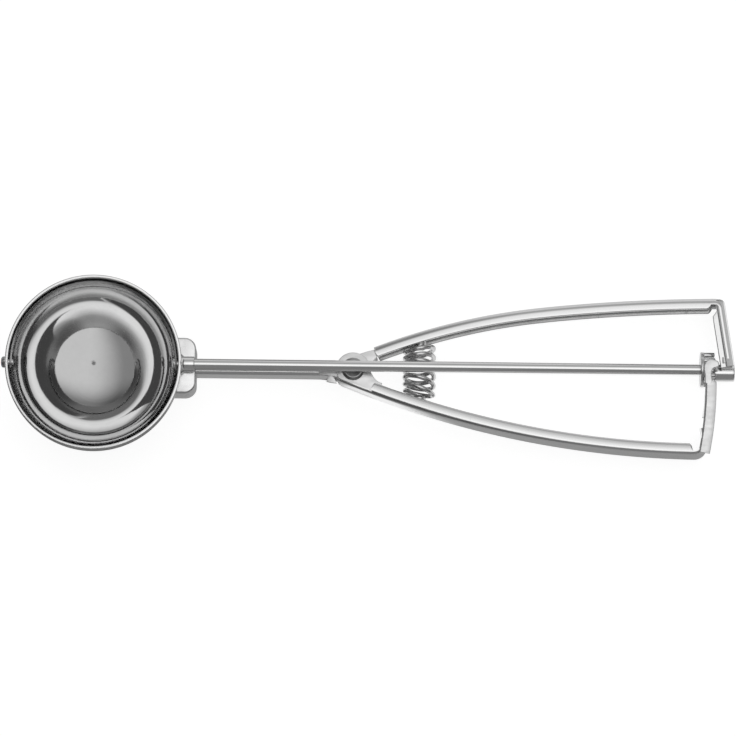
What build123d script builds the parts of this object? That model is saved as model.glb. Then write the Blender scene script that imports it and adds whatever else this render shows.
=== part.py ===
from build123d import *
from math import asin, cos, degrees, radians, sin, sqrt, tan
import os

# Lever ice cream scoop, millimetres.
# Modelled in the tool's own frame: X runs along the shaft from the bowl's centre to the rear, Y points to
# the fixed handle and Z is square to the bowl's opening. The last step lays the tool on a table, where it
# rests on three points.

# --- bowl -----------------------------------------------------------------------------------------
BOWL_R = 28.0            # outside radius
BOWL_WALL = 1.0
BOWL_COLLAR = 3.0        # straight wall from the shaft's axis up to the rim
RIM_ROUND = 0.25

# --- shaft and scraper ----------------------------------------------------------------------------
SHAFT_R = 1.75
SHAFT_RUN = 0.05         # radial clearance of the shaft in its bearings
SHAFT_CHAMFER = 0.4
SHAFT_NECK_R = 1.2       # thin end of the shaft, riveted in the scraper band
SHAFT_HEAD_R = 2.3
SHAFT_HEAD_T = 0.8
SHAFT_SHOULDER_GAP = 0.1 # between the shaft's shoulder and the scraper band
BAND_GAP = 0.35          # between the scraper band and the bowl
BAND_T = 0.7
BAND_HALF_W = 2.8
BAND_REST = 6.0          # degrees below the rim's plane, towards the fixed handle
PIN_R = 1.2              # stub axle at the tip
PIN_RUN = 0.05
PIN_HEAD_R = 1.8
PIN_HEAD_T = 1.0
PIN_HEAD_CHAMFER = 0.35
PIN_PROUD = 0.6          # length of the stub axle inside the scraper band
WASHER_T = 0.3
AXLE_SLACK = 0.05        # end play of the stub axle

# --- sleeve and bracket behind the bowl -----------------------------------------------------------
SLEEVE_WALL = 0.65
SLEEVE_L = 4.1           # the sleeve's length behind the bowl
BRACKET_L = 4.4          # the bracket's length behind the bowl
BRACKET_HALF_W = 8.9
BRACKET_LIP = 0.3        # the bracket reaches this far below the neck
BRACKET_WALL = 1.0
BRACKET_CORNER = 3.6

# --- pivot ----------------------------------------------------------------------------------------
NECK_L = 50.0            # from the bracket's back to the pivot
PIVOT_Y = -0.5
SHEET = 1.0              # thickness of both handles
RIVET_CLEAR = 0.45       # between the rivet's head and the shaft
LEVER_H = 13.4           # outside height of the squeeze handle's channel
EAR_GAP = 0.4            # between the ears of the two handles
EAR_R = 5.4
INNER_EAR_R = 2.95
RIVET_R = 2.0
RIVET_RUN = 0.05
RIVET_HEAD_R = 3.6
RIVET_HEAD_T = 1.05
RIVET_HEAD_CHAMFER = 0.6
RIVET_HEAD_GAP = 0.05
SPACER_R = 3.0
SPACER_BORE_GAP = 0.1
SHIM_R = 3.0
SHIM_T = 0.3

# --- arms -----------------------------------------------------------------------------------------
INCLINE = 5.15           # degrees that the arms rise towards the rear
BEND_R = 1.2             # outside bend of the channels
NECK_HALF_W = 2.4
NECK_BACK = 7.0          # the neck's tube ends this far before the pivot
NECK_LAP = 4.0           # length of the neck that the ears cover
NECK_EDGE = 0.2          # the ears' edges lie this far inside the neck's
WING_GAP = 1.0           # between the neck's small wing and the squeeze handle's web
WING_Y = -4.4
UPPER_LUG_OUT = 2.2      # end of the ears on the fixed arm, measured from the arm's front end
UPPER_LUG_IN = 1.0
UPPER_LUG_R = 1.9
LOWER_LUG_OUT = 9.5      # end of the ears on the squeeze arm, measured from the pivot
LOWER_LUG_UP = 2.4
LOWER_LUG_R = 1.6
UPPER_DEPTH = 3.0        # width of the fixed handle's flanges, web included
UPPER_START_U = 6.8      # front end of the fixed arm, measured from the pivot
UPPER_PAST_RACK = 3.5    # rear corner of the fixed arm, measured from the rack
UPPER_REAR_V = 22.85
UPPER_REAR_BEND = 560.0
UPPER_REAR_SPAN = 55.0
UPPER_FRONT_BEND = 209.0
CROSS_CORNER = 3.5
CROSS_LEAN = 9.0
CROSS_STOP_Y = 1.75
LOWER_DEPTH = 3.8
LOWER_BEND = 310.0
LOWER_CREST_V = -27.6    # where the squeeze handle's arc is furthest from the shaft
WEB_INSET = 1.0          # the squeeze handle's web starts this far inside its ears
FLANGE_GAP = 0.8         # between the rivet's head and the squeeze handle's flanges
LOWER_CORNER_OUT = 0.25  # how far the squeeze arm's corner stands out from the crosspiece's strip
LOWER_CORNER = 4.0
LOWER_CORNER_TURN = 101.0
LOWER_CORNER_RUN = 4.0

# --- pin wheel and rack ---------------------------------------------------------------------------
WHEEL_PINS = 6
PIN_CIRCLE_R = 4.7
WHEEL_PIN_R = 0.85
WHEEL_GAP = 0.3          # between the wheel's disc and the rack
WHEEL_T = 1.1
WHEEL_EDGE = 0.05
PIN_PAST_RACK = 2.2
HUB_WALL = 1.15
HUB_T = 1.8
RACK_R = 112.1           # middle of the toothed flange, measured from the pivot
RACK_T = 1.0
RACK_TEETH = 4
SLOT_GAP = 0.25          # slack of a pin in a slot, each side
ROOT_GAP = 0.2           # from the pins' path to the bottom of the slots
TOOTH_DEPTH = 1.45
ROOT_WALL = 0.3          # rack left between the slots and the curved crosspiece
STRIP_W = 3.2
STRIP_TIP = 1.05         # degrees past the shaft that the crosspiece ends
STRIP_INSET = 1.62       # the crosspiece starts this far inside the squeeze arm's crest

# --- rear saddle ----------------------------------------------------------------------------------
SADDLE_GAP = 0.7         # between the wheel's hub and the saddle
SADDLE_L = 7.7
SHAFT_INSET = 0.6        # the shaft ends this far inside the saddle
BUSH_WALL = 0.75
SADDLE_T = 0.9
SADDLE_LAP_Y = 2.4       # how far the strip above the saddle reaches towards the fixed arm
SADDLE_LAP_W = 2.0
SADDLE_LAP = 0.7         # how far its top reaches into the crosspiece's flange
CROSS_INSET = 0.35       # the crosspiece's web and lower flange stop this far inside the saddle's side
SADDLE_TAB = 3.4         # from the saddle's front end to its strip
BUSH_INSET = 0.4         # the bush ends this far inside the saddle

# --- return spring --------------------------------------------------------------------------------
SPRING_U = 21.2
SPRING_R = 5.4
SPRING_WIRE = 1.5
SPRING_GAP = 0.3
SPRING_SEAT_SLOPE = 16.0 # degrees that both arms lean at the spring
STUD_R = 2.2
STUD_REACH = 4.2
STUD_CHAMFER = 0.6
STUD_TAIL_R = 1.3
STUD_TAIL = 4.0          # length of a stud's thin end before it is trimmed to its web

# --- worked out -----------------------------------------------------------------------------------
FAR_AWAY = 400.0
BAND_R = BOWL_R - BOWL_WALL - BAND_GAP
SHAFT_START_X = BAND_R - BAND_T
SLEEVE_R = SHAFT_R + SHAFT_RUN + SLEEVE_WALL
SLEEVE_END_X = BOWL_R + SLEEVE_L
BRACKET_BACK_X = BOWL_R + BRACKET_L
PIVOT_X = BRACKET_BACK_X + NECK_L
NECK_END_X = PIVOT_X - NECK_BACK
LEVER_NEAR_Z = -SHAFT_R - RIVET_CLEAR - RIVET_HEAD_T - RIVET_HEAD_GAP
LEVER_FAR_Z = LEVER_NEAR_Z - LEVER_H
MID_Z = LEVER_NEAR_Z - LEVER_H / 2
UPPER_NEAR_Z = LEVER_NEAR_Z - SHEET - EAR_GAP
UPPER_FAR_Z = LEVER_FAR_Z + SHEET + EAR_GAP
UPPER_H = UPPER_NEAR_Z - UPPER_FAR_Z
BRACKET_BOTTOM_Z = UPPER_FAR_Z - BRACKET_LIP
LOWER_FRONT_U = WEB_INSET - EAR_R
LOWER_FLANGE_U = RIVET_HEAD_R + FLANGE_GAP
STRIP_OUTER_R = RACK_R - RACK_T / 2 + STRIP_W
LOWER_CORNER_U = sqrt(STRIP_OUTER_R ** 2 - (LOWER_CREST_V + LOWER_CORNER) ** 2) + LOWER_CORNER_OUT
LOWER_REAR_U = LOWER_CORNER_U - LOWER_CORNER
LOWER_CREST_U = sqrt(LOWER_BEND ** 2 - (LOWER_BEND + LOWER_CREST_V + EAR_R) ** 2)
WING_X = PIVOT_X + LOWER_FRONT_U - WING_GAP
UPPER_REAR_U = RACK_R + UPPER_PAST_RACK
PITCH = 360 / WHEEL_PINS * PIN_CIRCLE_R / RACK_R
RACK_X = PIVOT_X + RACK_R
WHEEL_X = RACK_X - RACK_T / 2 - WHEEL_GAP - WHEEL_T
WHEEL_R = PIN_CIRCLE_R + WHEEL_PIN_R + WHEEL_EDGE
WHEEL_PIN_END_X = RACK_X + RACK_T / 2 + PIN_PAST_RACK
HUB_R = SHAFT_R + HUB_WALL
RACK_ROOT_Z = PIN_CIRCLE_R + WHEEL_PIN_R + ROOT_GAP
TOOTH_TIP_Z = RACK_ROOT_Z - TOOTH_DEPTH
STRIP_Z = RACK_ROOT_Z + ROOT_WALL
STRIP_START = degrees(asin((LOWER_CREST_V + STRIP_INSET) / RACK_R))
SADDLE_X = WHEEL_X + WHEEL_T + HUB_T + SADDLE_GAP
SADDLE_END_X = SADDLE_X + SADDLE_L
SADDLE_TAB_X = SADDLE_X + SADDLE_TAB
SADDLE_R = SHAFT_R + SHAFT_RUN + BUSH_WALL + SADDLE_T
SHAFT_END_X = SADDLE_END_X - SHAFT_INSET
CROSS_END_Y = SADDLE_R - CROSS_INSET
CROSS_FLANGE_Z = UPPER_NEAR_Z - SHEET + UPPER_REAR_U * sin(radians(INCLINE))
SADDLE_LAP_Z = CROSS_FLANGE_Z + SADDLE_LAP


def span(x0, x1, y0, y1, z0, z1):
    """A block between two corners."""
    return Pos((x0 + x1) / 2, (y0 + y1) / 2, (z0 + z1) / 2) * Box(x1 - x0, y1 - y0, z1 - z0)


def rod_x(radius, x0, x1, y=0.0, z=0.0):
    """A round bar along X."""
    return Pos((x0 + x1) / 2, y, z) * Rot(0, 90, 0) * Cylinder(radius, x1 - x0)


def rod_z(radius, z0, z1, x=PIVOT_X, y=PIVOT_Y):
    """A round bar along Z, at the pivot unless told otherwise."""
    return Pos(x, y, (z0 + z1) / 2) * Cylinder(radius, z1 - z0)


def dome(radius, top):
    """A solid half ball that opens upwards, with a straight collar."""
    ball = Sphere(radius) - span(-radius, radius, -radius, radius, 0, radius)
    return ball + Pos(0, 0, top / 2) * Cylinder(radius, top)


def tilt(shape):
    """From the handles' flat plane, with its origin at the pivot, to the tool's frame."""
    return Pos(PIVOT_X, PIVOT_Y, MID_Z) * Rot(0, -INCLINE, 0) * shape


def plate(outline, z0, z1):
    """A flat plate between two heights."""
    return Pos(0, 0, z0) * extrude(outline, z1 - z0)


# --- fixed side -----------------------------------------------------------------------------------
def bowl():
    cup = dome(BOWL_R, BOWL_COLLAR) - dome(BOWL_R - BOWL_WALL, BOWL_COLLAR + 1)
    rim = cup.edges().filter_by(GeomType.CIRCLE).group_by(Axis.Z)[-1]
    cup = fillet(rim, min(RIM_ROUND, BOWL_WALL / 4))
    cup -= rod_x(SHAFT_R + SHAFT_RUN, 0, BOWL_R + 1)
    cup -= rod_x(PIN_R + PIN_RUN, -BOWL_R - 1, 0)
    return cup


def bowl_bracket():
    top = -SLEEVE_R
    front = sqrt((BOWL_R - BOWL_WALL) ** 2 - BRACKET_BOTTOM_Z ** 2 - BRACKET_HALF_W ** 2)
    block = span(front, BRACKET_BACK_X, -BRACKET_HALF_W, BRACKET_HALF_W, BRACKET_BOTTOM_Z, top)
    corners = block.edges().filter_by(Axis.Z).group_by(Axis.X)[-1]
    block = fillet(corners, BRACKET_CORNER)
    wall = BRACKET_WALL
    side = BRACKET_HALF_W - wall
    hollow = span(front, BRACKET_BACK_X - wall, -side, side, BRACKET_BOTTOM_Z + wall, top - wall)
    inner_corners = hollow.edges().filter_by(Axis.Z).group_by(Axis.X)[-1]
    hollow = fillet(inner_corners, BRACKET_CORNER - wall)
    return block - hollow - dome(BOWL_R, BOWL_COLLAR)


def shaft_sleeve():
    start = BOWL_R - BOWL_WALL
    bore = rod_x(SHAFT_R + SHAFT_RUN, start - 1, SLEEVE_END_X + 1)
    return rod_x(SLEEVE_R, start, SLEEVE_END_X) - bore - dome(BOWL_R, BOWL_COLLAR)


def channel(path, inward, depth, height):
    """A U channel swept along a flat path, its web on the path and its flanges pointing inward."""
    start = Plane(origin=path @ 0, x_dir=inward, z_dir=path % 0)
    web = Pos(depth / 2, 0) * Rectangle(depth, height)
    web = fillet(web.vertices().group_by(Axis.X)[0], BEND_R)
    hollow = Pos(SHEET + depth / 2, 0) * Rectangle(depth, height - 2 * SHEET)
    return sweep(start * (web - hollow), path=path)


def upper_path():
    """Outer line of the fixed handle, from the pivot to the end of the crosspiece."""
    rear_turn = degrees(asin(UPPER_REAR_SPAN / UPPER_REAR_BEND))
    centre_u = upper_front_centre()[0]
    front_turn = degrees(asin((centre_u - UPPER_START_U) / UPPER_FRONT_BEND)) - rear_turn
    rear = JernArc((UPPER_REAR_U, UPPER_REAR_V), (-1, 0), UPPER_REAR_BEND, rear_turn)
    front = JernArc(rear @ 1, rear % 1, UPPER_FRONT_BEND, front_turn)
    first = JernArc(front @ 1, -(front % 1), UPPER_FRONT_BEND, -front_turn)
    second = JernArc(first @ 1, first % 1, UPPER_REAR_BEND, -rear_turn)
    corner = JernArc(second @ 1, second % 1, CROSS_CORNER, CROSS_LEAN - 90)
    run = ((corner @ 1).Y + PIVOT_Y - CROSS_STOP_Y) / cos(radians(CROSS_LEAN))
    cross = Line(corner @ 1, corner @ 1 + (corner % 1) * run)
    return Wire([first, second, corner, cross])


def lower_path(front_u):
    """Outer line of the squeeze handle, from front_u round its rear corner."""
    middle_u = (front_u + LOWER_REAR_U) / 2
    points = [Vector(u, lower_web_v(u)) for u in (front_u, middle_u, LOWER_REAR_U)]
    arm = ThreePointArc(*points)
    corner = JernArc(arm @ 1, arm % 1, LOWER_CORNER, LOWER_CORNER_TURN)
    stub = Line(corner @ 1, corner @ 1 + (corner % 1) * LOWER_CORNER_RUN)
    return Wire([arm, corner, stub])


def upper_arm():
    path = upper_path()
    arm = channel(path, Vector(path % 0).rotate(Axis.Z, -90), UPPER_DEPTH, UPPER_H)
    relief = Pos(UPPER_REAR_U, UPPER_REAR_V - CROSS_CORNER) * Cylinder(CROSS_CORNER - SHEET, FAR_AWAY)
    past_web = span(PIVOT_X + RACK_R / 2, FAR_AWAY, -FAR_AWAY, CROSS_END_Y, -FAR_AWAY, CROSS_FLANGE_Z)
    return tilt(arm - relief) - past_web


def neck():
    tube = span(BRACKET_BACK_X, NECK_END_X, -NECK_HALF_W, NECK_HALF_W, UPPER_FAR_Z, UPPER_NEAR_Z)
    tube = fillet(tube.edges().filter_by(Axis.X), BEND_R)
    inner = NECK_HALF_W - SHEET
    return tube - span(0, FAR_AWAY, -inner, inner, UPPER_FAR_Z + SHEET, UPPER_NEAR_Z - SHEET)


def upper_ear():
    """Outline of the flat plates that join the neck to the fixed arm round the pivot."""
    arm_start = tilt(Vertex(*(upper_path() @ 0))).center()
    lug = Pos(arm_start.X + UPPER_LUG_OUT, arm_start.Y - UPPER_LUG_IN) * Circle(UPPER_LUG_R)
    neck_end = Pos(NECK_END_X - NECK_LAP / 2, 0) * Rectangle(NECK_LAP, 2 * (NECK_HALF_W - NECK_EDGE))
    pivot = Pos(PIVOT_X, PIVOT_Y) * Circle(INNER_EAR_R)
    lap_x = NECK_END_X - NECK_LAP
    wing = Polygon((lap_x, 0), (lap_x, -NECK_HALF_W), (WING_X, WING_Y), (WING_X, 0), align=None)
    return make_hull((neck_end + pivot).edges()) + make_hull((pivot + lug).edges()) + wing


def saddle():
    """Strip that leaves the crosspiece's flange and curls round the shaft's bush."""
    ring = rod_x(SADDLE_R, SADDLE_X, SADDLE_END_X)
    lap_y = SADDLE_LAP_Y - SADDLE_LAP_W
    strip = span(SADDLE_TAB_X, SADDLE_END_X - SADDLE_T, lap_y, SADDLE_LAP_Y, 0, SADDLE_LAP_Z)
    return ring + strip - rod_x(SADDLE_R - SADDLE_T, SADDLE_X - 1, SADDLE_END_X + 1)


def upper_handle():
    ears = plate(upper_ear(), UPPER_NEAR_Z - SHEET, UPPER_NEAR_Z)
    ears += plate(upper_ear(), UPPER_FAR_Z, UPPER_FAR_Z + SHEET)
    body = neck() + ears + upper_arm() + saddle()
    body -= rod_z(RIVET_R, -FAR_AWAY, FAR_AWAY)
    return body - tilt(upper_stud_hole())


def pivot_rivet():
    near = LEVER_NEAR_Z + RIVET_HEAD_GAP
    far = LEVER_FAR_Z - RIVET_HEAD_GAP
    rivet = rod_z(RIVET_R, far, near)
    top = rod_z(RIVET_HEAD_R, near, near + RIVET_HEAD_T)
    top = chamfer(top.edges().filter_by(GeomType.CIRCLE).group_by(Axis.Z)[-1], RIVET_HEAD_CHAMFER)
    bottom = rod_z(RIVET_HEAD_R, far - RIVET_HEAD_T, far)
    bottom = chamfer(bottom.edges().filter_by(GeomType.CIRCLE).group_by(Axis.Z)[0], RIVET_HEAD_CHAMFER)
    return rivet + top + bottom


def pivot_spacer():
    low = UPPER_FAR_Z + SHEET
    high = UPPER_NEAR_Z - SHEET
    return rod_z(SPACER_R, low, high) - rod_z(RIVET_R + SPACER_BORE_GAP, low - 1, high + 1)


def shim(middle_z):
    ring = rod_z(SHIM_R, middle_z - SHIM_T / 2, middle_z + SHIM_T / 2)
    return ring - rod_z(RIVET_R + SPACER_BORE_GAP, middle_z - 1, middle_z + 1)


def rear_bush():
    bush = rod_x(SADDLE_R - SADDLE_T, SADDLE_X, SADDLE_END_X - BUSH_INSET)
    return bush - rod_x(SHAFT_R + SHAFT_RUN, SADDLE_X - 1, SADDLE_END_X + 1)


# --- spring and its studs -------------------------------------------------------------------------
def upper_front_centre():
    """Centre of the fixed arm's front arc."""
    rear_turn = asin(UPPER_REAR_SPAN / UPPER_REAR_BEND)
    joint_u = UPPER_REAR_U - UPPER_REAR_SPAN
    joint_v = UPPER_REAR_V - UPPER_REAR_BEND * (1 - cos(rear_turn))
    return joint_u + UPPER_FRONT_BEND * sin(rear_turn), joint_v - UPPER_FRONT_BEND * cos(rear_turn)


def upper_web_v(u):
    """Outer line of the fixed arm's front arc."""
    centre_u, centre_v = upper_front_centre()
    return centre_v + sqrt(UPPER_FRONT_BEND ** 2 - (u - centre_u) ** 2)


def lower_web_v(u):
    """Outer line of the squeeze arm."""
    return LOWER_CREST_V + LOWER_BEND - sqrt(LOWER_BEND ** 2 - (u - LOWER_CREST_U) ** 2)


def stud(v, side):
    """Mushroom stud riveted through a web; side is 1 where the spring lies on its -Y side."""
    seat = v - side * SHEET / cos(radians(SPRING_SEAT_SLOPE))
    tip = seat - side * STUD_REACH
    turn = Pos(SPRING_U, 0, 0) * Rot(90, 0, 0)
    shank = turn * Pos(0, 0, -(seat + tip) / 2) * Cylinder(STUD_R, abs(seat - tip))
    end = shank.edges().filter_by(GeomType.CIRCLE).sort_by(Axis.Y)[0 if side > 0 else -1]
    return chamfer(end, STUD_CHAMFER)


def stud_tail(v, side):
    """The thin end of a stud, flush with the outside of its web."""
    turn = Pos(SPRING_U, v - side * SHEET, 0) * Rot(90, 0, 0)
    return turn * Cylinder(STUD_TAIL_R, STUD_TAIL)


def upper_stud_hole():
    return stud_tail(upper_web_v(SPRING_U), 1)


def lower_stud_hole():
    return stud_tail(lower_web_v(SPRING_U), -1)


def upper_spring_stud():
    web = upper_web_v(SPRING_U)
    return tilt(stud(web, 1) + stud_tail(web, 1)) - upper_arm_skin()


def lower_spring_stud():
    web = lower_web_v(SPRING_U)
    return tilt(stud(web, -1) + stud_tail(web, -1)) - lower_arm_skin()


def upper_arm_skin():
    """What a stud in the fixed arm is trimmed by: the arm itself and the space outside it."""
    return tilt(outside(UPPER_FRONT_BEND, upper_front_centre())) + (upper_arm() - tilt(upper_stud_hole()))


def lower_arm_skin():
    centre = (LOWER_CREST_U, LOWER_CREST_V + LOWER_BEND)
    return tilt(outside(LOWER_BEND, centre)) + (lower_arm() - tilt(lower_stud_hole()))


def outside(radius, centre):
    """A ring of space just outside an arm's outer face."""
    ring = Circle(radius + STUD_TAIL) - Circle(radius)
    return Pos(centre[0], centre[1], -LEVER_H / 2) * extrude(ring, LEVER_H)


def return_spring():
    """Closed solid of the spring's outer shape, its ends lying along the two arms' flanges."""
    tube = Rot(90, 0, 0) * (Cylinder(SPRING_R, FAR_AWAY) - Cylinder(SPRING_R - SPRING_WIRE, FAR_AWAY))
    slope = tan(radians(SPRING_SEAT_SLOPE))
    high = upper_web_v(SPRING_U) - UPPER_DEPTH / cos(radians(SPRING_SEAT_SLOPE)) - SPRING_GAP
    low = lower_web_v(SPRING_U) + LOWER_DEPTH / cos(radians(SPRING_SEAT_SLOPE)) + SPRING_GAP
    reach = SPRING_R + 1
    window = Polygon(
        (-reach, low + reach * slope),
        (reach, low - reach * slope),
        (reach, high + reach * slope),
        (-reach, high - reach * slope),
        align=None,
    )
    block = Pos(0, 0, -reach) * extrude(window, 2 * reach)
    return tilt(Pos(SPRING_U, 0, 0) * (tube & block))


# --- squeeze handle -------------------------------------------------------------------------------
def lower_arm():
    flanged = lower_path(LOWER_FLANGE_U)
    arm = channel(flanged, Vector(flanged % 0).rotate(Axis.Z, 90), LOWER_DEPTH, LEVER_H)
    middle_u = (LOWER_FRONT_U + LOWER_FLANGE_U) / 2
    line = ThreePointArc(*[Vector(u, lower_web_v(u)) for u in (LOWER_FRONT_U, middle_u, LOWER_FLANGE_U)])
    inward = Vector(line % 0).rotate(Axis.Z, 90)
    section = Plane(origin=line @ 0, x_dir=inward, z_dir=line % 0)
    web = section * Pos(SHEET / 2, 0) * Rectangle(SHEET, LEVER_H)
    return tilt(arm + sweep(web, path=line))


def sector(r0, r1, start, end, z0, z1):
    """Part of a ring about the pivot, between two angles in degrees from +X."""
    def at(radius, angle):
        return (radius * cos(radians(angle)), radius * sin(radians(angle)))
    middle = (start + end) / 2
    outer = ThreePointArc(at(r1, start), at(r1, middle), at(r1, end))
    inner = ThreePointArc(at(r0, end), at(r0, middle), at(r0, start))
    edges = [outer, Line(outer @ 1, inner @ 0), inner, Line(inner @ 1, outer @ 0)]
    return Pos(PIVOT_X, PIVOT_Y, z0) * extrude(make_face(edges), z1 - z0)


def crosspiece():
    """Curved strip that passes over the pin wheel, round about the pivot."""
    inner = RACK_R - RACK_T / 2
    strip = sector(inner, STRIP_OUTER_R, STRIP_START, STRIP_TIP, STRIP_Z, STRIP_Z + SHEET)
    middle = inner + STRIP_W / 2
    tip_x = PIVOT_X + middle * cos(radians(STRIP_TIP))
    tip_y = PIVOT_Y + middle * sin(radians(STRIP_TIP))
    return strip + rod_z(STRIP_W / 2, STRIP_Z, STRIP_Z + SHEET, tip_x, tip_y)


def lower_ear():
    pivot = Pos(PIVOT_X, PIVOT_Y)
    lug = pivot * Pos(LOWER_LUG_OUT, lower_web_v(LOWER_LUG_OUT) + LOWER_LUG_UP) * Circle(LOWER_LUG_R)
    disc = pivot * Circle(EAR_R)
    inside_web = pivot * Pos(LOWER_CREST_U, LOWER_CREST_V + LOWER_BEND) * Circle(LOWER_BEND - SHEET / 2)
    return make_hull((disc + lug).edges()) & inside_web


def lower_handle():
    ears = plate(lower_ear(), LEVER_NEAR_Z - SHEET, LEVER_NEAR_Z)
    ears += plate(lower_ear(), LEVER_FAR_Z, LEVER_FAR_Z + SHEET)
    body = lower_arm() + ears + crosspiece()
    body -= rod_z(RIVET_R + RIVET_RUN, -FAR_AWAY, FAR_AWAY)
    return body - tilt(lower_stud_hole())


def gear_rack():
    inner = RACK_R - RACK_T / 2
    half_tooth = PITCH / 2 - degrees((WHEEL_PIN_R + SLOT_GAP) / RACK_R)
    rest = degrees(asin(-PIVOT_Y / RACK_R))
    end = rest + half_tooth
    start = rest - (RACK_TEETH - 1) * PITCH - half_tooth
    rack = sector(inner, inner + RACK_T, start, end, TOOTH_TIP_Z, STRIP_Z)
    slot_half = WHEEL_PIN_R + SLOT_GAP
    slot = Pos(RACK_R, 0, 0) * Box(4 * RACK_T, 2 * slot_half, 2 * (RACK_ROOT_Z - TOOTH_TIP_Z))
    for i in range(RACK_TEETH - 1):
        rack -= Pos(PIVOT_X, PIVOT_Y, TOOTH_TIP_Z) * Rot(0, 0, rest - (i + 0.5) * PITCH) * slot
    return rack


# --- turning parts --------------------------------------------------------------------------------
def scraper_band():
    shell = Sphere(BAND_R) - Sphere(BAND_R - BAND_T)
    half = shell & span(-BAND_R, BAND_R, 0, BAND_R, -BAND_HALF_W, BAND_HALF_W)
    tabs = rod_x(BAND_HALF_W, -BAND_R, BAND_R) & shell
    band = half + tabs
    band -= rod_x(SHAFT_NECK_R, 0, BAND_R + 1)
    band -= rod_x(PIN_R, -BAND_R - 1, 0)
    return Rot(-BAND_REST, 0, 0) * band


def main_shaft():
    step_x = BAND_R + SHAFT_SHOULDER_GAP
    shaft = rod_x(SHAFT_R, step_x, SHAFT_END_X)
    shaft = chamfer(shaft.edges().filter_by(GeomType.CIRCLE).group_by(Axis.X)[-1], SHAFT_CHAMFER)
    return shaft + rod_x(SHAFT_NECK_R, SHAFT_START_X, step_x)


def shaft_rivet_head():
    head = rod_x(SHAFT_HEAD_R, SHAFT_START_X - SHAFT_HEAD_T, SHAFT_START_X)
    head = chamfer(head.edges().filter_by(GeomType.CIRCLE).group_by(Axis.X)[0], SHAFT_CHAMFER)
    return head & Sphere(BAND_R - BAND_T)


def front_pin():
    head_x = -BOWL_R - WASHER_T - 2 * AXLE_SLACK
    pin = rod_x(PIN_R, head_x, -BAND_R + BAND_T + PIN_PROUD)
    head = rod_x(PIN_HEAD_R, head_x - PIN_HEAD_T, head_x)
    head = chamfer(head.edges().filter_by(GeomType.CIRCLE).group_by(Axis.X)[0], PIN_HEAD_CHAMFER)
    return pin + head


def front_washer():
    x = -BOWL_R - AXLE_SLACK
    return rod_x(PIN_HEAD_R, x - WASHER_T, x) - rod_x(PIN_R + PIN_RUN, x - 1, x + 1)


def pinion_disc():
    disc = rod_x(WHEEL_R, WHEEL_X, WHEEL_X + WHEEL_T) + rod_x(HUB_R, WHEEL_X, WHEEL_X + WHEEL_T + HUB_T)
    disc -= rod_x(SHAFT_R, WHEEL_X - 1, WHEEL_X + WHEEL_T + HUB_T + 1)
    return disc - pin_places(WHEEL_PIN_R, WHEEL_X - 1, WHEEL_PIN_END_X)


def pin_places(radius, x0, x1):
    """Round bars on the pin circle, one slot each side of the rack's first tooth at rest."""
    bars = Part()
    for i in range(WHEEL_PINS):
        angle = radians((i + 0.5) * 360 / WHEEL_PINS)
        bars += rod_x(radius, x0, x1, PIN_CIRCLE_R * sin(angle), PIN_CIRCLE_R * cos(angle))
    return bars


def pinion_pins():
    return pin_places(WHEEL_PIN_R, WHEEL_X, WHEEL_PIN_END_X)


# --- laid on a table ------------------------------------------------------------------------------
def standing_up(feet):
    """Direction square to the table when the bowl and two feet touch it."""
    first, second = feet
    along = (first - second).normalized()
    nearest = first - along * first.dot(along)
    reach = nearest.length
    down = nearest.normalized()
    side = along.cross(down)
    if side.Z < 0:
        side = -side
    share = BOWL_R / reach
    return side * sqrt(1 - share ** 2) - down * share


def table_location(handles, everything):
    """Moves the tool from its own frame to where it lies on the table, centred over the origin."""
    up = Vector(0, 0, 1)
    for _ in range(4):
        feet = [min((v.center() for v in h.vertices()), key=lambda p: p.dot(up)) for h in handles]
        up = standing_up(feet)
    ahead = Vector(1, 0, 0) - up * up.X
    lying = Plane(origin=(0, 0, 0), x_dir=ahead, z_dir=up).location.inverse()
    box = Compound(children=[s.moved(lying) for s in everything]).bounding_box()
    return Pos(-box.center().X, -box.center().Y, -box.min.Z) * lying


def build():
    near_gap = (UPPER_NEAR_Z + LEVER_NEAR_Z - SHEET) / 2
    far_gap = (UPPER_FAR_Z + LEVER_FAR_Z + SHEET) / 2
    return {
        "bowl": bowl(),
        "bowl_bracket": bowl_bracket(),
        "shaft_sleeve": shaft_sleeve(),
        "upper_handle": upper_handle(),
        "pivot_rivet": pivot_rivet(),
        "pivot_spacer": pivot_spacer(),
        "near_shim": shim(near_gap),
        "far_shim": shim(far_gap),
        "rear_bush": rear_bush(),
        "upper_spring_stud": upper_spring_stud(),
        "return_spring": return_spring(),
        "lower_handle": lower_handle(),
        "gear_rack": gear_rack(),
        "lower_spring_stud": lower_spring_stud(),
        "scraper_band": scraper_band(),
        "main_shaft": main_shaft(),
        "shaft_rivet_head": shaft_rivet_head(),
        "front_pin": front_pin(),
        "front_washer": front_washer(),
        "pinion_disc": pinion_disc(),
        "pinion_pins": pinion_pins(),
    }


def main():
    parts = build()
    table = table_location([parts["upper_handle"], parts["lower_handle"]], list(parts.values()))
    os.makedirs("parts", exist_ok=True)
    for name, shape in parts.items():
        export_step(shape.moved(table), f"parts/{name}.step")


main()
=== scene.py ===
"""Squeeze-handle ice cream scoop in polished stainless steel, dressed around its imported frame.

Sizes in the code are millimetres in the scoop's own axes: X from the bowl's centre along the rod to
the handles' rear, Y towards the fixed handle, Z out of the bowl's mouth. `placed` turns them into
the frame's metres.
"""

from math import asin, atan, atan2, cos, pi, radians, sin, sqrt, tan

import bmesh
import bpy
from mathutils import Matrix, Vector
from mathutils.geometry import delaunay_2d_cdt


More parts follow.
